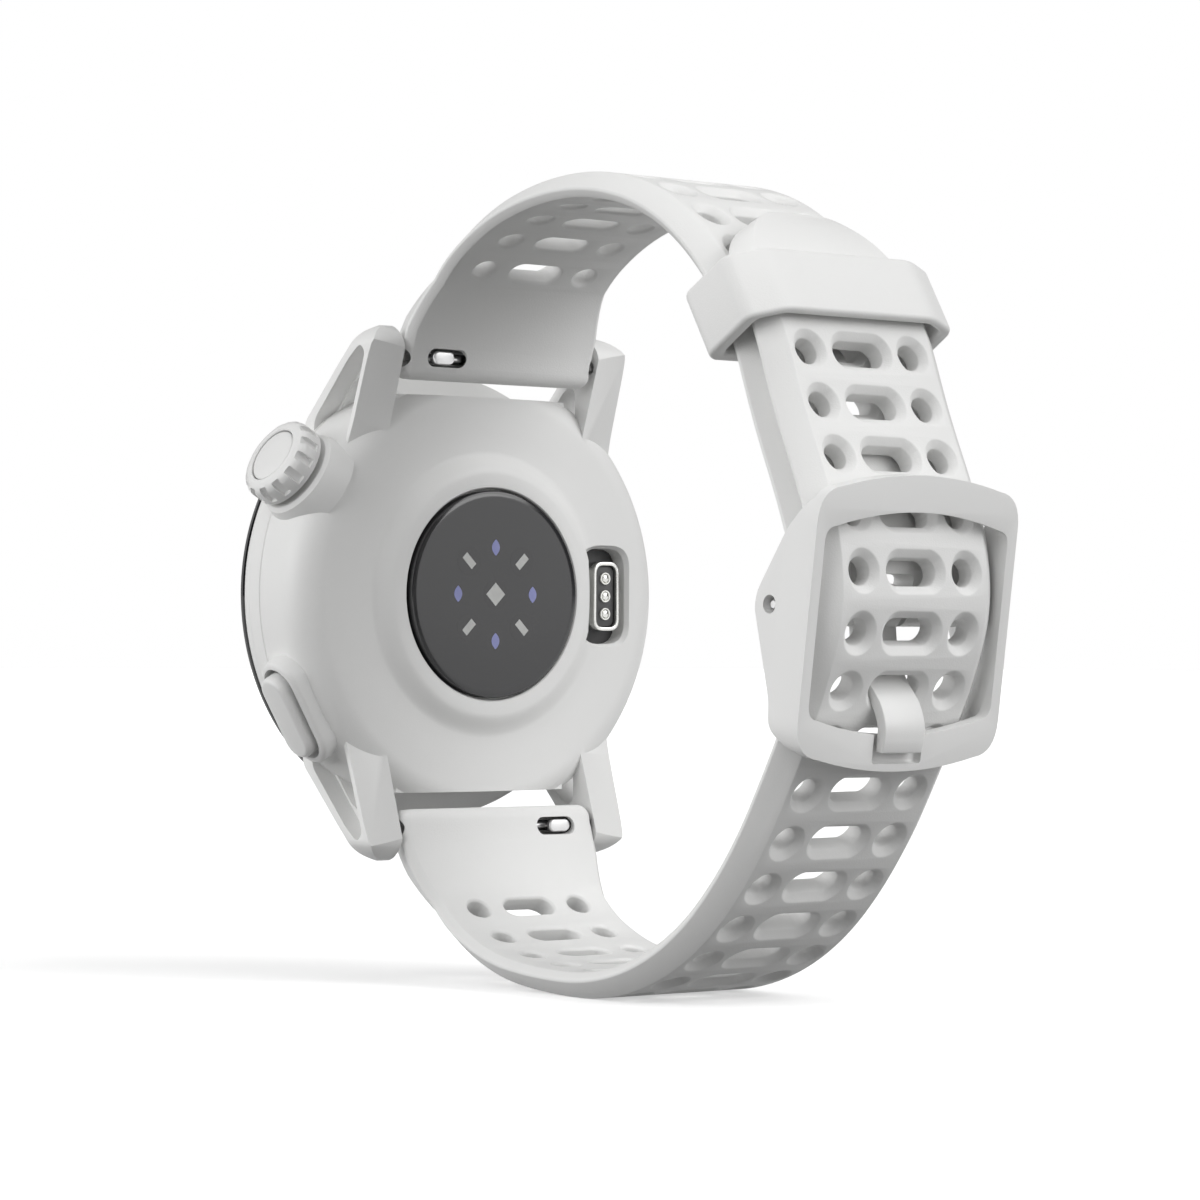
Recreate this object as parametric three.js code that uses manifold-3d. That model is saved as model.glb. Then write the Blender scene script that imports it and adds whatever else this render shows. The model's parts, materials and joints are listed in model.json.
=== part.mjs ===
// GPS running watch, buckled: a round head with a crown, a back button, a rear optical sensor and a
// charging port, on a two-piece perforated silicone strap with a loose keeper and a tongue buckle.
// Millimetres. Everything is drawn in the head's own frame and the finished group is moved at the end:
// X towards the crown side, Y from the display towards the wrist, Z towards 12 o'clock, and the zero
// point at the middle of the sensor window's outer face.

import * as THREE from 'three';
import { mergeVertices } from 'three/addons/utils/BufferGeometryUtils.js';
import Module from 'manifold-3d';

const wasm = await Module();
wasm.setup();

// ---------------------------------------------------------------- driving dimensions

const CASE_R = 20.9;
const CASE_RIDGE_R = 21.0;
const CASE_RIDGE_Y = -7.4;
const CASE_FRONT_Y = -9.35;
const CASE_FRONT_R = 20.75;
const BACK_Y = -1.45;
const BACK_FILLET_R = 2.7;
const CASE_FLOOR_Y = -2.6;
const CAVITY_R = 18.7;
const CAVITY_HALF_Z = 16.8;
const LUG_FLAT_Z = 18.1;
const LUG_GAP_HALF = 11.15;
const ROUND_STEPS = 44;

const BEZEL = { front: -10.35, back: -9.5, outer: 20.6, inner: 17.3, grooveIn: 18.0, grooveOut: 19.2 };
const GLASS = { r: 20.7, front: -11.1, back: -10.5, edge: 0.2 };
const SENSOR = { r: 9.5, seatR: 9.8, ledgeR: 8.9, ledgeY: -1.9, back: -1.55 };

const CROWN = { angle: 30, y: -5.2, knobR: 3.9, knobIn: 22.1, knobOut: 24.6, capR: 2.55 };
const BUTTON = { angle: -30, y: -5.2, length: 8.3, width: 3.3, out: 22.9, thickness: 1.7 };
const PORT = { x: -14.0, width: 5.4, height: 9.2, floor: -3.5, pitch: 1.67 };

const BAR = { y: -0.3, z: 21.3, tubeR: 0.75, tubeBoreR: 0.5, tipR: 0.36, holeR: 0.6, tubeHalf: 9.4 };

const STRAP_THICK = 2.3;
const STRAP_HALF = 9.75;
const STRAP_BAND_HALF = 7.95;
const STRAP_STEP = 2.2;
const ROW_RIM = 1.6;
const LUG_HALF = 10.85;
const LUG_LENGTH = 8;
const LUG_FLARE = 2.6;
const LAYER_GAP = 0.35;
const HOLE = { x: 5.69, r: 1.35, slotLength: 6.0, slotWidth: 2.7 };
const TONGUE_ROW = 13;

const PIN = { y: 50.6, z: -1.3, r: 0.5, holeR: 0.8, half: 10.7 };

// Each strap's middle line starts near its spring bar and is a chain of arcs: [length, turn in degrees].
const LOWER_LINE = {
  y: 0.0,
  z: -21.4,
  heading: -75.5,
  outside: -1,
  arcs: [[6, 20], [6, 27], [8, 21], [8, 7.5], [10, 22], [10, 22], [10, 14.5], [10, 4], [6, 9], [6, 24], [6, 16.5]],
  rows: { first: 9.1, pitch: 4.72, count: 20 },
};
const UPPER_LINE = {
  y: -0.4,
  z: 21.2,
  heading: 78,
  outside: 1,
  arcs: [[6, -22.5], [6, -23], [8, -18.5], [8, -13.5], [8, -16.5], [8, -20], [16, -34.5], [8, 5.5], [6, -4], [6.5, -55.5]],
  rows: { first: 10.4, pitch: 4.75, count: 12 },
};
const LINE_LEAD = 1.9;
const OVERLAP = { from: 72.4, to: 46.3 };
const TIP_LENGTH = 8.5;
const KEEPER = { at: 54.6, length: 6.2 };

// ---------------------------------------------------------------- materials

const finish = (color, roughness, metalness = 0) =>
  new THREE.MeshStandardMaterial({ color, roughness, metalness, flatShading: true });

const WHITE_CASE = () => finish(0xe4e5e3, 0.45);
const SILICONE = () => finish(0xe9e9e7, 0.6);
const BLACK_GLASS = () => finish(0x17181a, 0.08);
const STEEL = () => finish(0xb9bbbd, 0.3, 1);
const DARK_PLASTIC = () => finish(0x3a3b3d, 0.5);
const SEAL_RUBBER = () => finish(0x1d1d1e, 0.8);
const GREEN_BOARD = () => finish(0x1d5a3a, 0.55);
const SILVER_FOIL = () => finish(0xa7abb0, 0.4, 0.8);
const GOLD = () => finish(0xd8b25a, 0.3, 1);

// ---------------------------------------------------------------- solids

// A closed three.js geometry as a solid that can be joined and cut.
function solid(geometry) {
  const bare = geometry.clone();
  bare.deleteAttribute('normal');
  bare.deleteAttribute('uv');
  const merged = mergeVertices(bare, 1e-5);
  return new wasm.Manifold(new wasm.Mesh({
    numProp: 3,
    vertProperties: new Float32Array(merged.attributes.position.array),
    triVerts: new Uint32Array(merged.index.array),
  }));
}

function geometryOf(body) {
  const mesh = body.getMesh();
  const geometry = new THREE.BufferGeometry();
  geometry.setAttribute('position', new THREE.BufferAttribute(new Float32Array(mesh.vertProperties), 3));
  geometry.setIndex(new THREE.BufferAttribute(new Uint32Array(mesh.triVerts), 1));
  geometry.computeVertexNormals();
  return geometry;
}

const join = (bodies) => bodies.reduce((whole, body) => whole.add(body));
const cut = (body, cutters) => cutters.reduce((left, cutter) => left.subtract(cutter), body);

// Turns a closed outline of [radius, y] points about the Y axis.
function turned(outline, steps = ROUND_STEPS) {
  const points = outline.map(([r, y]) => new THREE.Vector2(r, y));
  if (outline[0][0] > 0) points.push(points[0].clone());
  const lathe = solid(new THREE.LatheGeometry(points, steps));
  if (lathe.volume() > 0) return lathe;
  return solid(new THREE.LatheGeometry(points.reverse(), steps));
}

const ring = (rIn, rOut, y0, y1, steps) => turned([[rIn, y0], [rOut, y0], [rOut, y1], [rIn, y1]], steps);
const disc = (r, y0, y1, steps) => turned([[0, y0], [r, y0], [r, y1], [0, y1]], steps);

// Outlines wind anticlockwise and holes clockwise, whichever way they were listed.
function wound(points, clockwise) {
  const path = points.map(([u, v]) => new THREE.Vector2(u, v));
  return THREE.ShapeUtils.isClockWise(path) === clockwise ? path : path.reverse();
}

function shapeOf(points, holes = []) {
  const shape = new THREE.Shape(wound(points, false));
  for (const hole of holes) shape.holes.push(new THREE.Path(wound(hole, true)));
  return shape;
}

function prism(points, depth, basis, holes) {
  const geometry = new THREE.ExtrudeGeometry(shapeOf(points, holes), { depth, bevelEnabled: false });
  return geometry.applyMatrix4(basis);
}

// An outline of [y, z] points, solid from x0 to x1.
function sidePrism(points, x0, x1, holes) {
  const basis = new THREE.Matrix4().makeBasis(
    new THREE.Vector3(0, 1, 0), new THREE.Vector3(0, 0, 1), new THREE.Vector3(1, 0, 0));
  return solid(prism(points, x1 - x0, basis.setPosition(x0, 0, 0), holes));
}

// An outline of [x, z] points, solid from y0 to y1.
function facePrism(points, y0, y1, holes) {
  const basis = new THREE.Matrix4().makeBasis(
    new THREE.Vector3(1, 0, 0), new THREE.Vector3(0, 0, 1), new THREE.Vector3(0, -1, 0));
  return solid(prism(points, y1 - y0, basis.setPosition(0, y1, 0), holes));
}

function box(x0, x1, y0, y1, z0, z1) {
  const block = new THREE.BoxGeometry(x1 - x0, y1 - y0, z1 - z0);
  return solid(block.translate((x0 + x1) / 2, (y0 + y1) / 2, (z0 + z1) / 2));
}

// A round rod along X at (y, z).
function rodX(r, x0, x1, y, z, sides = 12) {
  const rod = new THREE.CylinderGeometry(r, r, x1 - x0, sides);
  return solid(rod.rotateZ(Math.PI / 2).translate((x0 + x1) / 2, y, z));
}

// A rectangle with rounded corners, centred, as [u, v] points.
function roundedRect(width, height, radius, cornerSteps = 4) {
  const points = [];
  const corners = [[1, 1, 0], [-1, 1, 90], [-1, -1, 180], [1, -1, 270]];
  for (const [su, sv, start] of corners) {
    for (let i = 0; i <= cornerSteps; i += 1) {
      const angle = THREE.MathUtils.degToRad(start + 90 * i / cornerSteps);
      points.push([
        su * (width / 2 - radius) + radius * Math.cos(angle),
        sv * (height / 2 - radius) + radius * Math.sin(angle),
      ]);
    }
  }
  return points.filter(([u, v], i) => {
    const [pu, pv] = points[(i + points.length - 1) % points.length];
    return Math.hypot(u - pu, v - pv) > 1e-6;
  });
}

const shifted = (points, du, dv) => points.map(([u, v]) => [u + du, v + dv]);

// Carries a geometry drawn on the case's side, along +Y at radius y, to its angle round the case.
function onCaseSide(geometry, angle, y) {
  const outward = new THREE.Vector3(Math.cos(THREE.MathUtils.degToRad(angle)), 0,
    Math.sin(THREE.MathUtils.degToRad(angle)));
  const axial = new THREE.Vector3(0, -1, 0);
  const basis = new THREE.Matrix4().makeBasis(
    new THREE.Vector3().crossVectors(outward, axial), outward, axial);
  return geometry.clone().applyMatrix4(basis.setPosition(0, y, 0));
}

function sideTurned(outline, angle, y, steps) {
  return solid(onCaseSide(geometryOf(turned(outline, steps)), angle, y));
}

function sidePad(points, r0, r1, angle, y) {
  return solid(onCaseSide(geometryOf(facePrism(points, r0, r1)), angle, y));
}

// ---------------------------------------------------------------- strap lines

class StrapLine {
  constructor({ y, z, heading, outside, arcs }) {
    this.start = { y, z, heading: THREE.MathUtils.degToRad(heading) };
    this.outside = outside;
    this.arcs = arcs.map(([length, turn]) => ({ length, turn: THREE.MathUtils.degToRad(turn) }));
    this.length = arcs.reduce((sum, [length]) => sum + length, 0);
  }

  // The point, direction and outward normal at distance s; before the start the line runs on straight.
  at(s) {
    let { y, z, heading } = this.start;
    let left = s;
    if (left < 0) {
      y += left * Math.cos(heading);
      z += left * Math.sin(heading);
      left = 0;
    }
    for (const arc of this.arcs) {
      if (left <= 0) break;
      const run = Math.min(left, arc.length);
      const turn = arc.turn * run / arc.length;
      const chord = turn === 0 ? run : 2 * Math.sin(turn / 2) * run / turn;
      y += chord * Math.cos(heading + turn / 2);
      z += chord * Math.sin(heading + turn / 2);
      heading += turn;
      left -= run;
    }
    return this.frame(y, z, heading);
  }

  frame(y, z, heading) {
    const along = new THREE.Vector3(0, Math.cos(heading), Math.sin(heading));
    const out = new THREE.Vector3(0, -this.outside * along.z, this.outside * along.y);
    return { point: new THREE.Vector3(0, y, z), along, out };
  }
}

const upperLine = new StrapLine(UPPER_LINE);

// The lower strap leaves its own arcs at the buckle and then lies on the upper strap's outer face.
class LappedLine extends StrapLine {
  constructor(line, under) {
    super(line);
    this.ownLength = this.length;
    this.under = under;
    this.lift = STRAP_THICK + LAYER_GAP;
    this.lap = [{ s: this.ownLength, u: OVERLAP.from }];
    for (let u = OVERLAP.from; u > OVERLAP.to; u -= 0.5) {
      const last = this.lap[this.lap.length - 1];
      const step = this.onTop(u - 0.5).distanceTo(this.onTop(u));
      this.lap.push({ s: last.s + step, u: u - 0.5 });
    }
    this.length = this.lap[this.lap.length - 1].s;
  }

  onTop(u) {
    const { point, out } = this.under.at(u);
    return point.clone().addScaledVector(out, this.lift);
  }

  at(s) {
    if (s <= this.ownLength) return super.at(s);
    const i = Math.max(1, this.lap.findIndex((mark) => mark.s >= s));
    const [a, b] = [this.lap[i - 1], this.lap[i]];
    const u = a.u + (b.u - a.u) * (s - a.s) / (b.s - a.s);
    const { along, out } = this.under.at(u);
    return { point: this.onTop(u), along: along.negate(), out };
  }
}

const lowerLine = new LappedLine(LOWER_LINE, upperLine);

// A prism outline of [across, along] points, cut square through the strap at distance s.
function throughStrap(line, s, points, x = 0, reach = 6) {
  const { point, along } = line.at(s);
  const across = new THREE.Vector3(1, 0, 0);
  const basis = new THREE.Matrix4().makeBasis(across, along, new THREE.Vector3().crossVectors(across, along));
  const cutter = new THREE.ExtrudeGeometry(shapeOf(points), { depth: reach, bevelEnabled: false });
  cutter.translate(x, 0, -reach / 2);
  return solid(cutter.applyMatrix4(basis.setPosition(point)));
}

const obround = (length, width, cornerSteps) => roundedRect(length, width, width / 2 - 1e-4, cornerSteps);

// Where the strap's facets begin: just clear of each hole row, and evenly where there are no holes.
function stations(rows, from, to) {
  const marks = [from];
  const reach = (s, longest) => {
    const last = marks[marks.length - 1];
    const count = Math.max(1, Math.ceil((s - last) / longest));
    for (let i = 1; i <= count; i += 1) marks.push(last + (s - last) * i / count);
  };
  for (let row = 0; row < rows.count; row += 1) {
    const s = rows.first + row * rows.pitch;
    reach(s - ROW_RIM, STRAP_STEP);
    reach(s + ROW_RIM, 2 * ROW_RIM + 0.1);
  }
  reach(to, STRAP_STEP);
  return marks;
}

// The flat blank is a section swept straight, then laid along the strap's line.
function strapBlank(line, rows, length, tipLength) {
  const h = STRAP_THICK / 2;
  const section = shapeOf([
    [-STRAP_HALF, -h + 0.6], [-STRAP_HALF + 0.6, -h], [STRAP_HALF - 0.6, -h], [STRAP_HALF, -h + 0.6],
    [STRAP_HALF, h - 0.8], [STRAP_BAND_HALF, h], [-STRAP_BAND_HALF, h], [-STRAP_HALF, h - 0.8],
  ]);
  const marks = stations(rows, -LINE_LEAD, length);
  const steps = marks.length - 1;
  const blank = new THREE.ExtrudeGeometry(section, { depth: steps, steps, bevelEnabled: false });
  const position = blank.attributes.position;
  for (let i = 0; i < position.count; i += 1) {
    const s = marks[Math.round(position.getZ(i))];
    const { point, out } = line.at(s);
    const toLug = Math.max(0, 1 - s / LUG_LENGTH);
    const toTip = tipLength > 0 ? Math.max(0, (s - (length - tipLength)) / tipLength) : 0;
    const wide = (1 + (LUG_HALF / STRAP_HALF - 1) * Math.min(1, 1.6 * toLug))
      * Math.sqrt(1 - Math.min(0.94, toTip * toTip));
    const n = position.getY(i);
    const raised = n > 0 ? n + LUG_FLARE * toLug * n / h : n;
    const laid = point.clone().addScaledVector(out, raised);
    position.setXYZ(i, -line.outside * position.getX(i) * wide, laid.y, laid.z);
  }
  return solid(blank);
}

function strapHoles(line, rows, tongueRow) {
  const cutters = [];
  for (let row = 0; row < rows.count; row += 1) {
    const s = rows.first + row * rows.pitch;
    const slotWidth = row === tongueRow ? HOLE.slotWidth + 1.1 : HOLE.slotWidth;
    cutters.push(throughStrap(line, s, obround(HOLE.slotLength, slotWidth, 2)));
    for (const side of [-1, 1]) {
      cutters.push(throughStrap(line, s, obround(2 * HOLE.r, 2 * HOLE.r, 2), side * HOLE.x));
    }
  }
  return cutters;
}

// The window in the strap's wrist face that the spring bar's finger lever shows through.
function leverWindow(side, sign) {
  return box(Math.min(side * 3.3, side * 8.7), Math.max(side * 3.3, side * 8.7), BAR.y, BAR.y + 4,
    sign * BAR.z - 0.8, sign * BAR.z + 0.8);
}

const barBore = (sign) => rodX(BAR.tubeR + 0.25, -14, 14, BAR.y, sign * BAR.z);

function lowerStrap() {
  const blank = strapBlank(lowerLine, LOWER_LINE.rows, lowerLine.length, TIP_LENGTH);
  return cut(blank, [barBore(-1), leverWindow(-1, -1), ...strapHoles(lowerLine, LOWER_LINE.rows, TONGUE_ROW)]);
}

function upperStrap() {
  const length = upperLine.length - 1.2;
  const blank = strapBlank(upperLine, UPPER_LINE.rows, length, 0);
  const barrel = rodX(1.75, -STRAP_HALF + 0.1, STRAP_HALF - 0.1, PIN.y, PIN.z, 12);
  const pinBore = rodX(PIN.r + 0.3, -12, 12, PIN.y, PIN.z);
  const tongueNotch = box(-2.7, 2.7, PIN.y - 4, PIN.y + 4, PIN.z - 3, PIN.z + 2.6);
  return cut(join([blank, barrel]), [pinBore, tongueNotch, barBore(1), leverWindow(1, 1),
    ...strapHoles(upperLine, UPPER_LINE.rows, -1)]);
}

// ---------------------------------------------------------------- spring bars

function barTube(side, sign) {
  const tube = rodX(BAR.tubeR, -BAR.tubeHalf, BAR.tubeHalf, BAR.y, sign * BAR.z);
  const bore = rodX(BAR.tubeBoreR, -BAR.tubeHalf - 1, BAR.tubeHalf + 1, BAR.y, sign * BAR.z);
  const slot = box(Math.min(side * 3.6, side * 8.4), Math.max(side * 3.6, side * 8.4), BAR.y, BAR.y + 2,
    sign * BAR.z - 0.55, sign * BAR.z + 0.55);
  return cut(tube, [bore, slot]);
}

function fixedTip(side, sign) {
  const [x0, x1] = [side * -12.3, side * -6.5];
  return rodX(BAR.tipR, Math.min(x0, x1), Math.max(x0, x1), BAR.y, sign * BAR.z);
}

function releaseLever(side, sign) {
  const [x0, x1] = [side * 4.0, side * 12.3];
  const pin = rodX(BAR.tipR, Math.min(x0, x1), Math.max(x0, x1), BAR.y, sign * BAR.z);
  const knob = facePrism(shifted(roundedRect(2.5, 0.7, 0.3, 2), side * 6.8, sign * BAR.z), BAR.y, BAR.y + 1.25);
  return join([pin, knob]);
}

// ---------------------------------------------------------------- keeper and buckle

function keeper() {
  const { point, along, out } = upperLine.at(KEEPER.at);
  const outer = [[8.1, 5.1], [10.9, 3.9], [11.4, 3.2], [11.6, -1.9], [10.7, -2.8]];
  const inner = [[8.0, 4.2], [10.15, 3.3], [10.15, -1.6]];
  const loop = (half) => [...half, ...half.map(([x, n]) => [-x, n]).reverse()];
  const band = new THREE.ExtrudeGeometry(shapeOf(loop(outer), [loop(inner)]),
    { depth: KEEPER.length, bevelEnabled: false });
  band.translate(0, 0, -KEEPER.length / 2);
  const across = new THREE.Vector3().crossVectors(out, along);
  return solid(band.applyMatrix4(new THREE.Matrix4().makeBasis(across, out, along).setPosition(point)));
}

const FRAME_TILT = THREE.MathUtils.degToRad(8);

// Moves a body drawn round the buckle pin, with Y square to the frame and Z along it, to its place.
function atPin(body) {
  const geometry = geometryOf(body).rotateX(-FRAME_TILT).translate(0, PIN.y, PIN.z);
  return solid(geometry);
}

// A rectangle as [x, z] points, its ends bowed outwards and its corners cut round.
function bowed(halfWidth, top, bottom, bow, corner) {
  const end = (z, side) => {
    const points = [];
    for (let i = -3; i <= 3; i += 1) {
      points.push([side * i / 3 * (halfWidth - corner), z + side * bow * (1 - (i / 3) ** 2)]);
    }
    return [
      [-side * halfWidth, z - side * corner],
      [-side * (halfWidth - 0.3 * corner), z - side * 0.3 * corner],
      ...points,
      [side * (halfWidth - 0.3 * corner), z - side * 0.3 * corner],
      [side * halfWidth, z - side * corner],
    ];
  };
  return [...end(top, 1), ...end(bottom, -1)];
}

const FRAME = { back: 3.65, front: 4.75, half: 11.1, earIn: 10.1 };
const EAR_SIDE = [[4.2, 9.2], [3.5, 9.0], [1.2, 6.2], [-1.6, 0.95], [-1.8, -0.4], [1.0, -7.6], [1.2, -9.9],
  [3.2, -11.4], [4.2, -11.4]];
const FRAME_RELIEF = [[53.0, 3.5], [56.1, 3.5], [55.95, 4.6], [55.15, 7.2], [54.3, 9.3], [53.0, 9.3]];

function buckleFrame() {
  const blank = facePrism(bowed(FRAME.half, 9.7, -11.8, 1.4, 2.6), -3, FRAME.front);
  const window = bowed(FRAME.earIn, 6.6, -9.2, 1.2, 1.2);
  const plate = facePrism(bowed(14, 14, -14, 0.5, 1), FRAME.back, 6, [window]);
  const ears = [1, -1].map((side) => sidePrism(EAR_SIDE, Math.min(side * FRAME.earIn, side * 13),
    Math.max(side * FRAME.earIn, side * 13)));
  const pinHole = rodX(PIN.holeR, -14, 14, 0, 0);
  const frame = atPin(cut(join([plate, ...ears]).intersect(blank), [pinHole]));
  return cut(frame, [sidePrism(FRAME_RELIEF, -10.4, 10.4)]);
}

function buckleTongue() {
  const middle = [[50.7, -2.4], [51.2, -5.6], [52.6, -7.7], [54.1, -9.4], [54.8, -11.2], [54.75, -12.6],
    [54.55, -13.6]];
  const outline = [];
  const back = [];
  const half = 0.5;
  middle.forEach(([y, z], i) => {
    const [ay, az] = middle[Math.max(0, i - 1)];
    const [by, bz] = middle[Math.min(middle.length - 1, i + 1)];
    const length = Math.hypot(by - ay, bz - az);
    const [ny, nz] = [-(bz - az) / length * half, (by - ay) / length * half];
    outline.push([y + ny, z + nz]);
    back.push([y - ny, z - nz]);
  });
  const prong = sidePrism([...outline, ...back.reverse()], -2.2, 2.2);
  const eye = rodX(1.9, -2.2, 2.2, PIN.y, PIN.z, 16);
  const bore = rodX(PIN.r + 0.3, -3, 3, PIN.y, PIN.z);
  return cut(join([prong, eye]), [bore]);
}

// ---------------------------------------------------------------- case

// The side view of one lug as [y, z] points, the window through it, and the wider pocket in its outer face.
const LUG_SIDE = [[-9.2, 12.5], [-9.2, 15.7], [-2.6, 22.2], [-1.9, 23.6], [-1.2, 24.1], [-0.2, 23.8], [0.7, 22.8],
  [0.95, 21.7], [0.45, 20.1], [-0.95, 16.0], [-2.3, 12.0]];
const LUG_WINDOW = [[-7.9, 15.7], [-4.4, 19.4], [-3.2, 19.8], [-2.4, 19.2], [-2.3, 16.9], [-2.8, 15.0],
  [-3.05, 12.9], [-7.4, 12.9]];
const LUG_POCKET = [[-7.9, 15.7], [-4.35, 19.5], [-2.7, 21.1], [-1.7, 21.95], [-1.05, 22.1], [-0.5, 21.8],
  [-0.3, 21.2], [-0.65, 20.1], [-1.4, 17.8], [-2.2, 15.4], [-3.05, 12.9], [-7.4, 12.9]];
const LUG_PLAN = [[11.15, 11.0], [15.4, 11.0], [14.9, 15.0], [14.75, 21.0], [14.6, 22.6], [13.9, 23.4],
  [12.0, 24.3], [11.15, 24.3]];
const LUG_SLOPE = { x: 14.7, y: 0.45, z: 21.6, normal: [0.13, 1, -0.333] };
const LUG_POCKET_FLOOR = 12.9;

// What the lug's wrist side is sloped off by, down towards its outer edge.
function lugSlope(sx, sz) {
  const [nx, ny, nz] = LUG_SLOPE.normal;
  const normal = new THREE.Vector3(sx * nx, ny, sz * nz).normalize();
  const turn = new THREE.Quaternion().setFromUnitVectors(new THREE.Vector3(0, 1, 0), normal);
  const block = new THREE.BoxGeometry(40, 30, 40).translate(0, 15, 0).applyQuaternion(turn);
  return solid(block.translate(sx * LUG_SLOPE.x, LUG_SLOPE.y, sz * LUG_SLOPE.z));
}

function lug(sx, sz) {
  const flip = (points) => points.map(([u, v]) => [u, sz * v]);
  const side = sidePrism(flip(LUG_SIDE), Math.min(sx * 11.15, sx * 18), Math.max(sx * 11.15, sx * 18),
    [flip(LUG_WINDOW)]);
  const plan = facePrism(LUG_PLAN.map(([x, z]) => [sx * x, sz * z]), -12, 3);
  const [floor, open] = [sx * LUG_POCKET_FLOOR, sx * 19];
  const pocket = sidePrism(flip(LUG_POCKET), Math.min(floor, open), Math.max(floor, open));
  return side.intersect(plan).subtract(lugSlope(sx, sz)).subtract(pocket);
}

function caseShell() {
  const fillet = [];
  for (let i = 0; i <= 3; i += 1) {
    const angle = THREE.MathUtils.degToRad(90 - 30 * i);
    fillet.push([
      CASE_R - BACK_FILLET_R + BACK_FILLET_R * Math.cos(angle),
      BACK_Y - BACK_FILLET_R + BACK_FILLET_R * Math.sin(angle),
    ]);
  }
  return turned([
    [SENSOR.ledgeR, CASE_FLOOR_Y], [SENSOR.ledgeR, SENSOR.ledgeY], [SENSOR.seatR, SENSOR.ledgeY],
    [SENSOR.seatR, -0.85], [12.2, -0.95], [13.6, -1.3], ...fillet,
    [CASE_RIDGE_R, CASE_RIDGE_Y], [CASE_FRONT_R, CASE_FRONT_Y], [CAVITY_R, CASE_FRONT_Y],
    [CAVITY_R, CASE_FLOOR_Y - 1.6], [CAVITY_R - 1.6, CASE_FLOOR_Y],
  ]);
}

function caseBody() {
  const cavityEnds = [1, -1].map((side) => {
    const [z0, z1] = [side * CAVITY_HALF_Z, side * LUG_FLAT_Z];
    const filler = box(-10.9, 10.9, CASE_FRONT_Y, -2.0, Math.min(z0, z1), Math.max(z0, z1));
    return filler;
  });
  const lugs = [[1, 1], [1, -1], [-1, 1], [-1, -1]].map(([sx, sz]) => lug(sx, sz));
  const crownBoss = sideTurned([[0, 19.2], [4.25, 19.2], [4.0, 21.7], [0, 21.7]], CROWN.angle, CROWN.y, 24);
  const buttonBoss = sidePad(roundedRect(10.8, 5.2, 2.55, 4), 19.0, 21.7, BUTTON.angle, BUTTON.y);
  const portTub = facePrism(shifted(roundedRect(6.8, 10.6, 2.6), PORT.x, 0), PORT.floor - 0.9, -2.2);
  const frontCut = box(-30, 30, -14, CASE_FRONT_Y, -30, 30);
  const body = cut(join([caseShell(), ...cavityEnds, crownBoss, buttonBoss, portTub]), [
    frontCut,
    ...[1, -1].map((side) => box(-LUG_GAP_HALF, LUG_GAP_HALF, -14, 2,
      Math.min(side * LUG_FLAT_Z, side * 24), Math.max(side * LUG_FLAT_Z, side * 24))),
    facePrism(shifted(roundedRect(PORT.width, PORT.height, 2.1), PORT.x, 0), PORT.floor, 1),
    sideTurned([[0, 12], [1.8, 12], [1.8, 23], [0, 23]], CROWN.angle, CROWN.y, 16),
    sideTurned([[0, 12], [1.1, 12], [1.1, 23], [0, 23]], BUTTON.angle, BUTTON.y, 12),
  ]);
  const barHoles = [1, -1].map((sign) => rodX(BAR.holeR, -12.6, 12.6, BAR.y, sign * BAR.z, 8));
  const buttonRecess = sidePad(roundedRect(BUTTON.length + 0.8, BUTTON.width + 0.8, 2.0, 4), 20.8, 24,
    BUTTON.angle, BUTTON.y);
  return cut(join([body, ...lugs.map((one) => cut(one, [caseHollow()]))]), [...barHoles, buttonRecess]);
}

// The inside of the case, which the lugs' roots must not reach into.
const caseHollow = () => disc(CAVITY_R + 1.2, CASE_FRONT_Y - 4, -3.6);

function bezelRing() {
  return turned([
    [BEZEL.inner, BEZEL.back], [BEZEL.outer + 0.1, BEZEL.back], [BEZEL.outer, BEZEL.front],
    [BEZEL.grooveOut, BEZEL.front], [BEZEL.grooveOut, BEZEL.front + 0.4],
    [BEZEL.grooveIn, BEZEL.front + 0.4], [BEZEL.grooveIn, BEZEL.front], [BEZEL.inner, BEZEL.front],
  ]);
}

const coverGlass = () => turned([[0, GLASS.back], [GLASS.r, GLASS.back], [GLASS.r, GLASS.front + GLASS.edge],
  [GLASS.r - GLASS.edge, GLASS.front], [0, GLASS.front]]);

const glassSeal = () => ring(BEZEL.grooveIn + 0.1, BEZEL.grooveOut - 0.1, BEZEL.front + 0.3, BEZEL.front - 0.05);

const sensorWindow = () => turned([[0, SENSOR.back], [SENSOR.r, SENSOR.back], [SENSOR.r, -0.3],
  [SENSOR.r - 0.35, 0], [0, 0]]);

// ---------------------------------------------------------------- inside the case

const INSIDE = {
  display: { r: 16.8, y0: -10.2, y1: -9.1 },
  carrier: { r: 16.6, y0: -8.9, y1: -8.1 },
  board: { r: 16.4, y0: -7.9, y1: -7.2 },
  battery: { width: 19, height: 25, x: -1.0, y0: -6.9, y1: -3.9 },
};

function boardOutline(r, steps = 32) {
  const points = [];
  for (let i = 0; i < steps; i += 1) {
    const angle = 2 * Math.PI * i / steps;
    points.push([r * Math.cos(angle), Math.max(-15.6, Math.min(15.6, r * Math.sin(angle)))]);
  }
  return points;
}

const plateAt = ({ r, y0, y1 }, holes) => facePrism(boardOutline(r), y0, y1, holes);

function displayCarrier() {
  const window = roundedRect(20, 18, 2);
  return plateAt(INSIDE.carrier, [window]);
}

function batteryCell() {
  const { width, height, x, y0, y1 } = INSIDE.battery;
  return facePrism(shifted(roundedRect(width, height, 2), x, 0), y0, y1);
}

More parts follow.
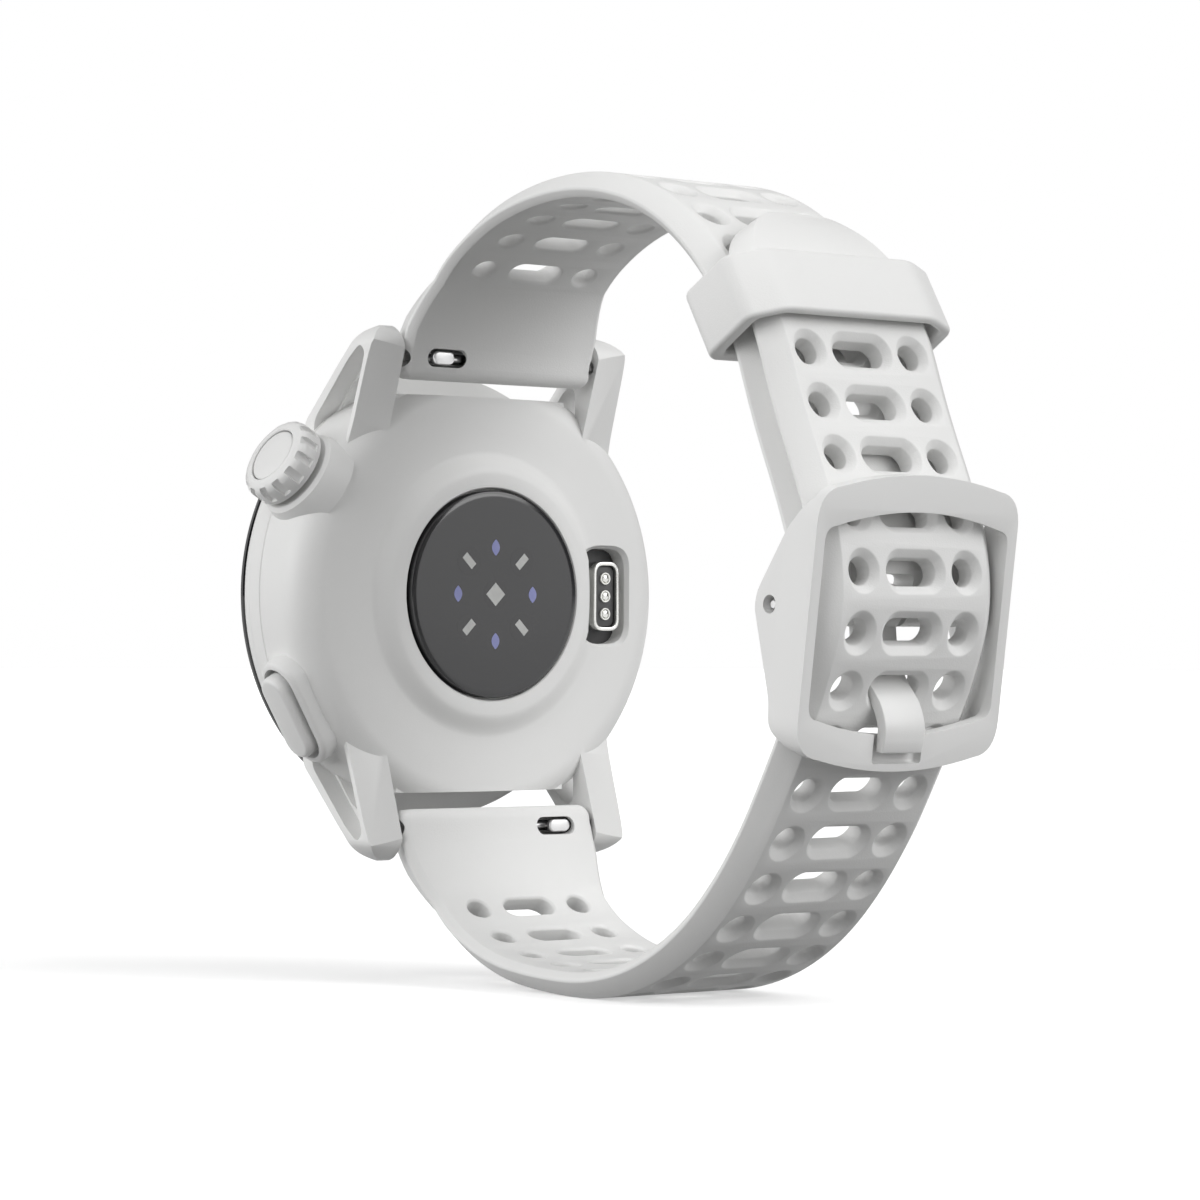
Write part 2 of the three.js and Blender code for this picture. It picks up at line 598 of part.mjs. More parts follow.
function antennaBand() {
  const points = [];
  const [rIn, rOut, from, to, steps] = [17.5, 18.3, 118, 232, 14];
  for (const [r, a, b] of [[rOut, from, to], [rIn, to, from]]) {
    for (let i = 0; i <= steps; i += 1) {
      const angle = THREE.MathUtils.degToRad(a + (b - a) * i / steps);
      points.push([r * Math.cos(angle), Math.max(-16, Math.min(16, r * Math.sin(angle)))]);
    }
  }
  return facePrism(points, -8.9, -5.6);
}

// ---------------------------------------------------------------- crown and back button

function crownKnob() {
  const knob = sideTurned([[1.05, CROWN.knobIn], [CROWN.knobR - 0.25, CROWN.knobIn],
    [CROWN.knobR, CROWN.knobIn + 0.25], [CROWN.knobR, CROWN.knobOut - 0.8],
    [CROWN.knobR - 0.3, CROWN.knobOut - 0.25], [CROWN.knobR - 0.9, CROWN.knobOut],
    [CROWN.capR + 0.15, CROWN.knobOut], [CROWN.capR + 0.15, CROWN.knobOut - 0.8],
    [1.05, CROWN.knobOut - 0.8]], CROWN.angle, CROWN.y, 28);
  const notches = [];
  const count = 14;
  for (let i = 0; i < count; i += 1) {
    const notch = new THREE.BoxGeometry(0.8, 1.5, 0.75);
    notch.translate(0, CROWN.knobOut - 1.35, CROWN.knobR + 0.05).rotateY(2 * Math.PI * i / count);
    notches.push(solid(onCaseSide(notch, CROWN.angle, CROWN.y)));
  }
  return cut(knob, notches);
}

const crownRing = (rIn, rOut, r0, r1, steps = 20) =>
  sideTurned([[rIn, r0], [rOut, r0], [rOut, r1], [rIn, r1]], CROWN.angle, CROWN.y, steps);

const crownDisc = (radius, r0, r1, steps = 20) =>
  sideTurned([[0, r0], [radius, r0], [radius, r1], [0, r1]], CROWN.angle, CROWN.y, steps);

function buttonCap() {
  const inner = sidePad(roundedRect(BUTTON.length, BUTTON.width, 1.6, 4), BUTTON.out - BUTTON.thickness,
    BUTTON.out - 0.35, BUTTON.angle, BUTTON.y);
  const face = sidePad(roundedRect(BUTTON.length - 0.7, BUTTON.width - 0.7, 1.25, 4), BUTTON.out - 0.4,
    BUTTON.out, BUTTON.angle, BUTTON.y);
  return join([inner, face]);
}

const buttonRod = (rIn, rOut, r0, r1, steps = 12) => (rIn > 0
  ? sideTurned([[rIn, r0], [rOut, r0], [rOut, r1], [rIn, r1]], BUTTON.angle, BUTTON.y, steps)
  : sideTurned([[0, r0], [rOut, r0], [rOut, r1], [0, r1]], BUTTON.angle, BUTTON.y, steps));

// ---------------------------------------------------------------- charging port and sensor pack

const portOutline = (inset) => shifted(roundedRect(3.0 - 2 * inset, 6.5 - 2 * inset, 1.1 - inset), PORT.x, 0);

const portShell = () => facePrism(portOutline(0), PORT.floor + 0.15, -1.75, [portOutline(0.4)]);
const portInsert = () => facePrism(portOutline(0.5), PORT.floor + 0.15, -1.95);

function portContact(index) {
  const dome = turned([[0, -1.85], [0.45, -1.85], [0.45, -1.65], [0.3, -1.5], [0, -1.45]], 12);
  return solid(geometryOf(dome).translate(PORT.x, 0, (index - 1) * PORT.pitch));
}

function chip(width, height, angle, radius) {
  const turn = THREE.MathUtils.degToRad(angle);
  const block = new THREE.BoxGeometry(width, 0.6, height).rotateY(-turn);
  return solid(block.translate(radius * Math.cos(turn), -2.35, radius * Math.sin(turn)));
}

// ---------------------------------------------------------------- assembly

const watch = new THREE.Group();

function place(name, body, material, parent = watch) {
  const mesh = new THREE.Mesh(geometryOf(body), material);
  mesh.name = name;
  parent.add(mesh);
}

place('case_body', caseBody(), WHITE_CASE());
place('front_bezel', bezelRing(), WHITE_CASE());
place('cover_glass', coverGlass(), BLACK_GLASS());
place('glass_seal', glassSeal(), SEAL_RUBBER());
place('sensor_window', sensorWindow(), BLACK_GLASS());
place('sensor_seal', ring(SENSOR.ledgeR + 0.1, SENSOR.r, SENSOR.ledgeY + 0.1, SENSOR.back - 0.1), SEAL_RUBBER());
place('sensor_board', disc(8.5, -3.3, -2.8, 24), GREEN_BOARD());
for (let i = 0; i < 4; i += 1) {
  place(`pulse_led_${i + 1}`, chip(1.2, 1.6, 90 * i, 4.3), finish(0x8f95c9, 0.3));
  place(`photodiode_${i + 1}`, chip(2.0, 0.8, 45 + 90 * i, 4.35), finish(0xcfd1d0, 0.35));
}
place('oxygen_led', chip(1.9, 1.9, 45, 0), finish(0xd9dad8, 0.35));

place('display_module', plateAt(INSIDE.display), finish(0x0c0d10, 0.2));
place('display_carrier', displayCarrier(), DARK_PLASTIC());
place('main_board', plateAt(INSIDE.board), GREEN_BOARD());
place('radio_shield', box(0.5, 9.5, -8.9, -8.1, -6, 6), SILVER_FOIL());
place('battery_cell', batteryCell(), SILVER_FOIL());
place('vibration_motor', rodX(1.5, 9.4, 14.0, -5.3, -1.5, 16), STEEL());
place('pressure_sensor', box(-13.6, -11.2, -6.8, -5.4, 6.4, 9.4), STEEL());
place('antenna_band', antennaBand(), GOLD());

place('charge_port_shell', portShell(), STEEL());
place('charge_port_insert', portInsert(), DARK_PLASTIC());
for (let i = 0; i < 3; i += 1) place(`charge_contact_${i + 1}`, portContact(i), STEEL());

place('crown_tube', crownRing(1.25, 1.6, 17.6, 21.4), STEEL());
place('crown_knob', crownKnob(), WHITE_CASE());
place('crown_cap', crownDisc(CROWN.capR, CROWN.knobOut - 0.65, CROWN.knobOut - 0.15, 32), WHITE_CASE());
place('crown_shaft', crownDisc(0.8, 14.9, CROWN.knobOut - 0.95), STEEL());
place('crown_seal', crownRing(0.9, 1.15, 19.3, 19.8), SEAL_RUBBER());
place('crown_encoder_wheel', crownDisc(2.0, 14.0, 14.7), DARK_PLASTIC());
place('crown_sleeve', crownRing(1.0, 1.6, 15.4, 16.6), DARK_PLASTIC());
place('crown_switch', crownDisc(1.5, 12.4, 13.4), STEEL());

place('back_button', buttonCap(), WHITE_CASE());
place('button_plunger', buttonRod(0, 0.75, 17.6, BUTTON.out - BUTTON.thickness - 0.15), STEEL());
place('button_seal', buttonRod(0.85, 1.0, 19.2, 19.7), SEAL_RUBBER());
place('button_switch', buttonRod(0, 1.5, 16.0, 17.0), STEEL());

place('upper_strap', upperStrap(), SILICONE());
place('lower_strap', lowerStrap(), SILICONE());
for (const [name, side, sign] of [['upper', 1, 1], ['lower', -1, -1]]) {
  place(`${name}_bar_tube`, barTube(side, sign), STEEL());
  place(`${name}_bar_fixed_tip`, fixedTip(side, sign), STEEL());
  place(`${name}_release_lever`, releaseLever(side, sign), STEEL());
}
place('keeper_loop', keeper(), SILICONE());
place('buckle_frame', buckleFrame(), WHITE_CASE());
place('buckle_tongue', buckleTongue(), WHITE_CASE());
place('buckle_pin', rodX(PIN.r, -PIN.half, PIN.half, PIN.y, PIN.z), STEEL());

// The watch stands on the lowest point of its strap, with the middle of its footprint at zero.
const bounds = new THREE.Box3().setFromObject(watch);
const middle = bounds.getCenter(new THREE.Vector3());
watch.position.set(-middle.x, -middle.y, -bounds.min.z);

export default watch;
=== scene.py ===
"""Looks of a buckled GPS running watch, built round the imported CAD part."""

import json
import logging
import math
from dataclasses import dataclass, field
from enum import Enum
from functools import cached_property
from typing import Callable, Sequence

import bpy
import numpy as np
from mathutils import Matrix, Vector


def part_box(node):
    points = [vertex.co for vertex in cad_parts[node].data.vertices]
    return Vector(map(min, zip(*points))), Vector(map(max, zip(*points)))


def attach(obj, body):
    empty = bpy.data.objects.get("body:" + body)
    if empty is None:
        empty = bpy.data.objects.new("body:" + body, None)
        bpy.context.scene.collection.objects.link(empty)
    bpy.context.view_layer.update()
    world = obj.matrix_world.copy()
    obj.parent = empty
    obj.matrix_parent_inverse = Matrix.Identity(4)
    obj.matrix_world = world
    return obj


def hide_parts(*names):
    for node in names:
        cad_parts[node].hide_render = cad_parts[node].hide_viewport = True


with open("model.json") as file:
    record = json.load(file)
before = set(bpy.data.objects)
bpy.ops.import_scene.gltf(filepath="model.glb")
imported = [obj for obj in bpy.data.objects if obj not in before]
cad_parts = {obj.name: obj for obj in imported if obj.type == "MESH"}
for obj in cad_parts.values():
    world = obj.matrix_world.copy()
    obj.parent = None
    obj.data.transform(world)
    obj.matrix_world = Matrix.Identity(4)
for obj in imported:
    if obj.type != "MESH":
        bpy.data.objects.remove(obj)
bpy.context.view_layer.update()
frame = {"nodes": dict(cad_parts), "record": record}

LOG = logging.getLogger("watch")
MM = 0.001
Outline = list[tuple[float, float]]
Piece = bpy.types.Object

# Where pieces meet, in millimetres and degrees of the head's own frame: the spring bars, the buckle pin, the
# crown, the back button and the charging port.
BAR_Y, BAR_Z = -0.3, 21.3
PIN_Y, PIN_Z = 50.6, -1.3
CROWN_ANGLE, BUTTON_ANGLE, SIDE_Y = 30.0, -30.0, -5.2
PORT_X = -14.0


# ---------------------------------------------------------------- the head's own frame

def head_origin() -> Vector:
    """Returns the middle of the sensor window's outer face, which every piece is drawn from, in metres."""
    low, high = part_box("sensor_window")
    return Vector(((low.x + high.x) / 2, high.y, (low.z + high.z) / 2))


ORIGIN = head_origin()


class Axis(Enum):
    """The direction a prism runs along, or a turned piece turns about."""

    X = "x"
    Y = "y"
    Z = "z"

    def carry(self) -> Matrix:
        """Returns the turn that takes a piece drawn along Z, over an outline in X and Y, to this axis."""
        if self is Axis.X:
            return Matrix(((0, 0, 1, 0), (1, 0, 0, 0), (0, 1, 0, 0), (0, 0, 0, 1)))
        if self is Axis.Y:
            return Matrix(((1, 0, 0, 0), (0, 0, -1, 0), (0, 1, 0, 0), (0, 0, 0, 1)))
        return Matrix.Identity(4)


class Join(Enum):
    """How one closed piece is combined with another."""

    ADD = "UNION"
    CUT = "DIFFERENCE"
    KEEP_COMMON = "INTERSECT"


# ---------------------------------------------------------------- modelling by operators

def activate(obj: Piece) -> None:
    """Deselects everything, then selects one object and makes it the active one."""
    bpy.ops.object.select_all(action="DESELECT")
    obj.select_set(True)
    bpy.context.view_layer.objects.active = obj


def edit(obj: Piece, everything: bool = True, mode: str = "VERT") -> None:
    """Enters edit mode.

    Args:
        obj: The object to edit.
        everything: Selects the whole mesh, where False keeps the selection made in code.
        mode: VERT, EDGE or FACE.
    """
    activate(obj)
    bpy.ops.object.mode_set(mode="EDIT")
    bpy.ops.mesh.select_mode(type=mode)
    if everything:
        bpy.ops.mesh.select_all(action="SELECT")


def leave() -> None:
    """Goes back to object mode."""
    bpy.ops.object.mode_set(mode="OBJECT")


def pick(obj: Piece, test: Callable[[Vector], bool]) -> int:
    """Selects the vertices that pass a test of their place, and the edges and faces that only they bound.

    Args:
        obj: The object, in object mode.
        test: Says of a vertex's place whether it is selected.

    Returns:
        How many vertices were selected.
    """
    mesh = obj.data
    chosen = [test(vertex.co) for vertex in mesh.vertices]
    mesh.vertices.foreach_set("select", chosen)
    mesh.edges.foreach_set("select", [all(chosen[i] for i in edge.vertices) for edge in mesh.edges])
    mesh.polygons.foreach_set("select", [all(chosen[i] for i in face.vertices) for face in mesh.polygons])
    return sum(chosen)


def face_out(obj: Piece) -> Piece:
    """Merges doubles and turns every face outwards."""
    edit(obj)
    bpy.ops.mesh.remove_doubles(threshold=1e-4)
    bpy.ops.mesh.normals_make_consistent(inside=False)
    leave()
    return obj


def placed(obj: Piece, matrix: Matrix) -> Piece:
    """Moves an object's mesh, and turns its faces back outwards if the move mirrors it.

    Args:
        obj: The object, which keeps its own place.
        matrix: The move, for the mesh.

    Returns:
        The same object.
    """
    obj.data.transform(matrix)
    if matrix.determinant() < 0:
        obj.data.flip_normals()
    obj.data.update()
    return obj


def copied(obj: Piece, matrix: Matrix) -> Piece:
    """Copies an object.

    Args:
        obj: The object to copy.
        matrix: The move, for the copy's mesh.

    Returns:
        The copy, with its own mesh.
    """
    twin = obj.copy()
    twin.data = obj.data.copy()
    bpy.context.scene.collection.objects.link(twin)
    return placed(twin, matrix)


def joined(objects: Sequence[Piece]) -> Piece:
    """Joins objects into the first one's mesh.

    Args:
        objects: The objects; all but the first are used up.

    Returns:
        The first object.
    """
    activate(objects[0])
    for other in objects[1:]:
        other.select_set(True)
    if len(objects) > 1:
        bpy.ops.object.join()
    return objects[0]


def combine(obj: Piece, other: Piece, how: Join) -> Piece:
    """Combines two closed pieces with a Boolean.

    Args:
        obj: The piece that is changed.
        other: The piece that is used up.
        how: Whether it is added, cut away or only the common part is kept.

    Returns:
        The changed piece.
    """
    modifier = obj.modifiers.new("combine", "BOOLEAN")
    modifier.operation = how.value
    modifier.solver = "EXACT"
    modifier.object = other
    activate(obj)
    bpy.ops.object.modifier_apply(modifier=modifier.name)
    bpy.data.objects.remove(other)
    return obj


def softened(obj: Piece, width: float, segments: int = 3, angle: float = 28.0) -> Piece:
    """Rounds the edges that turn by more than an angle.

    Args:
        obj: The piece.
        width: The bevel's width in millimetres.
        segments: The rounding's steps.
        angle: The least turn, in degrees, of an edge that is rounded.

    Returns:
        The same piece.
    """
    modifier = obj.modifiers.new("soften", "BEVEL")
    modifier.width = width
    modifier.segments = segments
    modifier.limit_method = "ANGLE"
    modifier.angle_limit = math.radians(angle)
    modifier.miter_outer = "MITER_ARC"
    activate(obj)
    bpy.ops.object.modifier_apply(modifier=modifier.name)
    return obj


def box(low: Sequence[float], high: Sequence[float]) -> Piece:
    """Makes a block, to be shaped further.

    Args:
        low: Its low corner.
        high: Its high corner.

    Returns:
        The block.
    """
    bpy.ops.object.select_all(action="DESELECT")
    bpy.ops.mesh.primitive_cube_add(size=1)
    obj = bpy.context.object
    size = [b - a for a, b in zip(low, high)]
    middle = [(a + b) / 2 for a, b in zip(low, high)]
    return placed(obj, Matrix.Translation(middle) @ Matrix.Diagonal((*size, 1)))


def prism(outline: Outline, low: float, high: float, axis: Axis) -> Piece:
    """Extrudes an outline.

    Args:
        outline: [y, z] points for a run along X, [x, z] along Y, [x, y] along Z.
        low: Where the run starts.
        high: Where it ends.
        axis: The axis it runs along.

    Returns:
        The closed prism.
    """
    bpy.ops.object.select_all(action="DESELECT")
    bpy.ops.mesh.primitive_circle_add(vertices=len(outline), fill_type="NGON")
    obj = bpy.context.object
    start = -high if axis is Axis.Y else low
    for vertex, (u, v) in zip(obj.data.vertices, outline):
        vertex.co = (u, v, start)
    edit(obj)
    bpy.ops.mesh.extrude_region_move(TRANSFORM_OT_translate={"value": (0, 0, high - low)})
    bpy.ops.mesh.select_all(action="SELECT")
    bpy.ops.mesh.normals_make_consistent(inside=False)
    leave()
    return placed(obj, axis.carry())


def turned(profile: Outline, axis: Axis = Axis.Y, steps: int = 128, hollow: bool = False) -> Piece:
    """Turns a profile of [radius, height] points: a ring is extruded and widened from point to point.

    Args:
        profile: The points, in order; all radii are above zero.
        axis: The axis it turns about. About Y, heights run the other way round and are given as y.
        steps: Facets round the axis.
        hollow: Closes the profile on itself, where False caps its two ends.

    Returns:
        The closed piece.
    """
    bpy.ops.object.select_all(action="DESELECT")
    sign = -1 if axis is Axis.Y else 1
    first, height = profile[0]
    bpy.ops.mesh.primitive_circle_add(vertices=steps, radius=first, location=(0, 0, 0))
    obj = bpy.context.object
    placed(obj, Matrix.Translation((0, 0, sign * height)))
    edit(obj)
    radius = first
    for wide, high in profile[1:]:
        bpy.ops.mesh.extrude_region_move(TRANSFORM_OT_translate={"value": (0, 0, sign * (high - height))})
        scale = wide / radius
        bpy.ops.transform.resize(value=(scale, scale, 1), center_override=(0, 0, sign * high))
        radius, height = wide, high
    bpy.ops.mesh.select_all(action="DESELECT")
    bpy.ops.mesh.select_non_manifold(extend=False, use_wire=False, use_boundary=True,
                                     use_multi_face=False, use_non_contiguous=False, use_verts=False)
    if hollow:
        bpy.ops.mesh.bridge_edge_loops()
    else:
        bpy.ops.mesh.edge_face_add()
    leave()
    return placed(face_out(obj), axis.carry())


def arc(centre: tuple[float, float], radius: float, start: float, end: float, steps: int) -> Outline:
    """Returns points on an arc.

    Args:
        centre: Its middle.
        radius: Its radius.
        start: Its first angle, in degrees.
        end: Its last angle, in degrees.
        steps: Its number of chords.
    """
    points = []
    for i in range(steps + 1):
        angle = math.radians(start + (end - start) * i / steps)
        points.append((centre[0] + radius * math.cos(angle), centre[1] + radius * math.sin(angle)))
    return points


def obround(half_length: float, radius: float, at: tuple[float, float] = (0, 0)) -> Outline:
    """Returns a slot's outline.

    Args:
        half_length: How far each end's middle is from the slot's.
        radius: The radius of the ends.
        at: The slot's middle.
    """
    ends = arc((half_length, 0), radius, -90, 90, 12) + arc((-half_length, 0), radius, 90, 270, 12)
    return [(u + at[0], v + at[1]) for u, v in ends]


def rounded(points: Outline, radius: float, steps: int = 5) -> Outline:
    """Rounds every corner of an outline.

    Args:
        points: The outline.
        radius: How far along each side a rounding reaches, where there is room.
        steps: The chords of each rounding.

    Returns:
        The rounded outline.
    """
    result: Outline = []
    for i, here in enumerate(points):
        corner = Vector(here)
        back = Vector(points[i - 1]) - corner
        ahead = Vector(points[(i + 1) % len(points)]) - corner
        reach = min(radius, back.length * 0.45, ahead.length * 0.45)
        start, end = corner + back.normalized() * reach, corner + ahead.normalized() * reach
        for k in range(steps + 1):
            t = k / steps
            spot = start * (1 - t) ** 2 + corner * (2 * t * (1 - t)) + end * t * t
            result.append((spot.x, spot.y))
    return result


def mirrored(points: Outline) -> Outline:
    """Returns an outline's points followed by their mirror images in reverse order."""
    return points + [(-u, v) for u, v in reversed(points)]


def side_place(angle: float, height: float) -> Matrix:
    """Returns the move that takes a piece drawn along Z to the case's side.

    Args:
        angle: The angle round the case, in degrees, from the crown side towards 12 o'clock.
        height: The place along Y.
    """
    a = math.radians(angle)
    outward = Vector((math.cos(a), 0, math.sin(a)))
    axial = Vector((0, -1, 0))
    across = axial.cross(outward)
    turn = Matrix((across, axial, outward)).transposed().to_4x4()
    return Matrix.Translation((0, height, 0)) @ turn


# ---------------------------------------------------------------- materials

def linear(text: str) -> tuple[float, float, float, float]:
    """Returns an sRGB hex colour as linear red, green, blue and alpha."""
    parts = [int(text[i:i + 2], 16) / 255 for i in (1, 3, 5)]
    return (*[c / 12.92 if c <= 0.04045 else ((c + 0.055) / 1.055) ** 2.4 for c in parts], 1.0)


def add_node(tree: bpy.types.NodeTree, kind: str, settings: dict | None = None,
             links: dict | None = None) -> bpy.types.Node:
    """Adds a node.

    Args:
        tree: The material's node tree.
        kind: The node's type name.
        settings: Values by input name or number, or by the node's own attribute name.
        links: Output sockets by input name or number.

    Returns:
        The node.
    """
    node = tree.nodes.new(kind)
    for name, value in (settings or {}).items():
        if isinstance(name, str) and hasattr(node, name):
            setattr(node, name, value)
        else:
            node.inputs[name].default_value = value
    for name, socket in (links or {}).items():
        tree.links.new(socket, node.inputs[name])
    return node


@dataclass(frozen=True)
class Finish:
    """One real surface: its colours, its response to light, and its texture at a real size.

    The colour drifts between two shades over drift_mm, the surface is grained at grain_mm, and wear is how far
    the roughness strays either way.
    """

    name: str
    colour: str
    shade: str
    roughness: float
    metallic: float = 0.0
    ior: float = 1.5
    grain_mm: float = 0.12
    grain_depth: float = 0.12
    drift_mm: float = 14.0
    wear: float = 0.05
    sheen: float = 0.0
    glow: float = 0.0

    def build(self) -> bpy.types.Material:
        """Returns the material, made once and then shared."""
        existing = bpy.data.materials.get(self.name)
        if existing:
            return existing
        material = bpy.data.materials.new(self.name)
        material.use_nodes = True
        tree = material.node_tree
        tree.nodes.clear()
        place = add_node(tree, "ShaderNodeTexCoord")
        drift = add_node(tree, "ShaderNodeTexNoise", {"Scale": 1000 / self.drift_mm, "Detail": 3.0},
                         {"Vector": place.outputs["Object"]})
        grain = add_node(tree, "ShaderNodeTexNoise", {"Scale": 1000 / self.grain_mm, "Detail": 2.0},
                         {"Vector": place.outputs["Object"]})
        colour = add_node(tree, "ShaderNodeMix", {"data_type": "RGBA"}, {0: drift.outputs["Fac"]})
        colour.inputs[6].default_value = linear(self.colour)
        colour.inputs[7].default_value = linear(self.shade)
        rough = add_node(tree, "ShaderNodeMapRange", {"To Min": self.roughness - self.wear,
                                                      "To Max": self.roughness + self.wear},
                         {"Value": drift.outputs["Fac"]})
        bump = add_node(tree, "ShaderNodeBump", {"Strength": self.grain_depth, "Distance": self.grain_mm * MM},
                        {"Height": grain.outputs["Fac"]})
        settings = {"Metallic": self.metallic, "IOR": self.ior, "Sheen Weight": self.sheen,
                    "Emission Strength": self.glow}
        links = {"Base Color": colour.outputs[2], "Roughness": rough.outputs["Result"],
                 "Normal": bump.outputs["Normal"]}
        shader = add_node(tree, "ShaderNodeBsdfPrincipled", settings, links)
        add_node(tree, "ShaderNodeOutputMaterial", None, {"Surface": shader.outputs["BSDF"]})
        return material


# Glass-filled polyamide, moulded and bead-blasted: an even satin white with a very fine tooth.
CASE_RESIN = Finish("white_polyamide_case", "#e9e9e8", "#e5e5e4", 0.42, grain_mm=0.10, grain_depth=0.10)
# The same resin on the small parts that fingers polish: a little glossier.
TRIM_RESIN = Finish("white_polyamide_trim", "#e8e8e7", "#e3e3e2", 0.36, grain_mm=0.09, grain_depth=0.08)
# Moulded silicone with a powder-matt mould finish: soft highlight and a faint bloom at the edges.
STRAP_SILICONE = Finish("white_silicone_strap", "#e9e9e8", "#e4e4e3", 0.52, ior=1.43, grain_mm=0.14,
                        grain_depth=0.14, sheen=0.04)
# Strengthened cover glass over black ink: a sharp reflection on a deep black.
COVER_GLASS = Finish("black_backed_mineral_glass", "#0c0d0f", "#101114", 0.06, ior=1.52, grain_mm=0.4,
                     grain_depth=0.004, wear=0.015)
# Tinted polycarbonate lens, gloss moulded: dark grey with a softer reflection than glass.
SENSOR_LENS = Finish("tinted_polycarbonate_lens", "#222224", "#1e1e20", 0.16, ior=1.58, grain_mm=0.3,
                     grain_depth=0.008, wear=0.02)
# The clear wells over the light pipes, a shade darker and more polished than the lens round them.
LENS_WELL = Finish("clear_light_well", "#19191b", "#1c1c1e", 0.1, ior=1.58, grain_mm=0.3, grain_depth=0.005,
                   wear=0.02)
# Phosphor emitters behind the lens: milky violet-blue.
EMITTER = Finish("violet_led_window", "#7c80b4", "#8c90c0", 0.35, grain_mm=0.2, grain_depth=0.05, drift_mm=1.0)
# Silicon photodiodes under a clear cap: light grey.
DIODE = Finish("grey_photodiode_window", "#c9cac8", "#aaaba9", 0.32, grain_mm=0.2, grain_depth=0.05,
               drift_mm=0.9)
# Stainless steel, machined then tumbled.
STEEL = Finish("tumbled_stainless_steel", "#d2d2d2", "#c4c4c4", 0.34, metallic=1.0, grain_mm=0.15,
               grain_depth=0.06, drift_mm=3.0)
# Gold-flashed contacts wear to a silver tone.
CONTACT = Finish("plated_contact", "#d9d9d6", "#c6c6c3", 0.22, metallic=1.0, grain_mm=0.1, grain_depth=0.04,
                 drift_mm=1.0)
# Moulded nylon, dark and matt.
DARK_MOULDING = Finish("dark_moulded_nylon", "#4a4a4b", "#424243", 0.5, grain_mm=0.12, grain_depth=0.12,
                       drift_mm=3.0)
# Painted shade: dark grey nylon, a shade darker than the moulded insert, for a plate laid on the floor of the
# charging recess that stands for the deep shadow in it.
PORT_RECESS_PAINTED_SHADE = Finish("port_recess_painted_shade", "#454546", "#3c3c3d", 0.55, grain_mm=0.12, grain_depth=0.12,
                    drift_mm=3.0)
# Moulded nitrile rubber: black, nearly without shine.
SEAL = Finish("black_nitrile_seal", "#161617", "#1b1b1c", 0.7, grain_mm=0.15, grain_depth=0.2, drift_mm=3.0)
# Solder mask over laminate: green with a low shine.
BOARD = Finish("green_solder_mask", "#1c5a3c", "#174d33", 0.4, grain_mm=0.5, grain_depth=0.2, drift_mm=2.0)
# Crinkled aluminium laminate: broken silver reflections.
FOIL = Finish("aluminium_pouch_foil", "#b4b7bb", "#a6a9ae", 0.38, metallic=0.9, grain_mm=0.8, grain_depth=0.25,
              drift_mm=6.0)
# Flash-plated copper on polyimide: a warm, soft metal shine.
GOLD = Finish("gold_plated_flex", "#d6ad58", "#c79f4e", 0.28, metallic=1.0, grain_mm=0.3, grain_depth=0.1,
              drift_mm=4.0)
# Laminated display glass, unlit: black with a faint shine.
DISPLAY = Finish("dark_display_stack", "#0b0c10", "#0f1015", 0.2, grain_mm=0.3, grain_depth=0.02)
# Matt board, evenly lit from within as well, so that it stays white under the soft lights.
STUDIO_FLOOR = Finish("matt_studio_board", "#f4f4f4", "#f2f2f2", 0.85, grain_mm=2.0, grain_depth=0.02,
                      drift_mm=300.0, glow=0.42)

CAD_FINISHES: dict[str, Finish] = {
    "display_glass": DISPLAY, "steel": STEEL, "dark_plastic": DARK_MOULDING, "seal_rubber": SEAL,
    "board_green": BOARD, "foil_silver": FOIL, "gold_flex": GOLD, "case_white": CASE_RESIN,
    "silicone_white": STRAP_SILICONE, "sensor_lens": SENSOR_LENS, "led_violet": EMITTER, "diode_grey": DIODE,
}


def settle(obj: Piece, name: str, body: str, finish: Finish, nodes: Sequence[str] = (),
           smooth: float = 32.0) -> Piece:
    """Takes a finished piece from head millimetres to its place, dresses it, parents it to its body and hides
    the CAD nodes that it stands for.

    Args:
        obj: The piece, drawn in head millimetres.
        name: The piece's name.
        body: The CAD body that it rides on.
        finish: Its surface.
        nodes: The CAD nodes that it stands for.
        smooth: The largest edge angle, in degrees, that is shaded smooth.

    Returns:
        The same piece.
    """
    placed(obj, Matrix.Translation(ORIGIN) @ Matrix.Diagonal((MM, MM, MM, 1)))
    obj.name = name
    obj.data.name = name
    obj.data.materials.clear()
    obj.data.materials.append(finish.build())
    activate(obj)
    bpy.ops.object.shade_smooth_by_angle(angle=math.radians(smooth))
    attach(obj, body)
    if nodes:
        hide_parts(*nodes)
    LOG.info("%s: %d faces on %s", name, len(obj.data.polygons), body)
    return obj


# ---------------------------------------------------------------- strap lines

@dataclass(frozen=True)
class Spot:
    """A place on a strap's middle line: its y and z, its heading, and its outward direction."""

    y: float
    z: float
    heading: float
    outside: int

    @property
    def out(self) -> tuple[float, float]:
        """The outward direction, as y and z."""
        return (-self.outside * math.sin(self.heading), self.outside * math.cos(self.heading))

    def raised(self, distance: float) -> tuple[float, float]:
        """Returns y and z at a distance outwards from the line."""
        return (self.y + self.out[0] * distance, self.z + self.out[1] * distance)


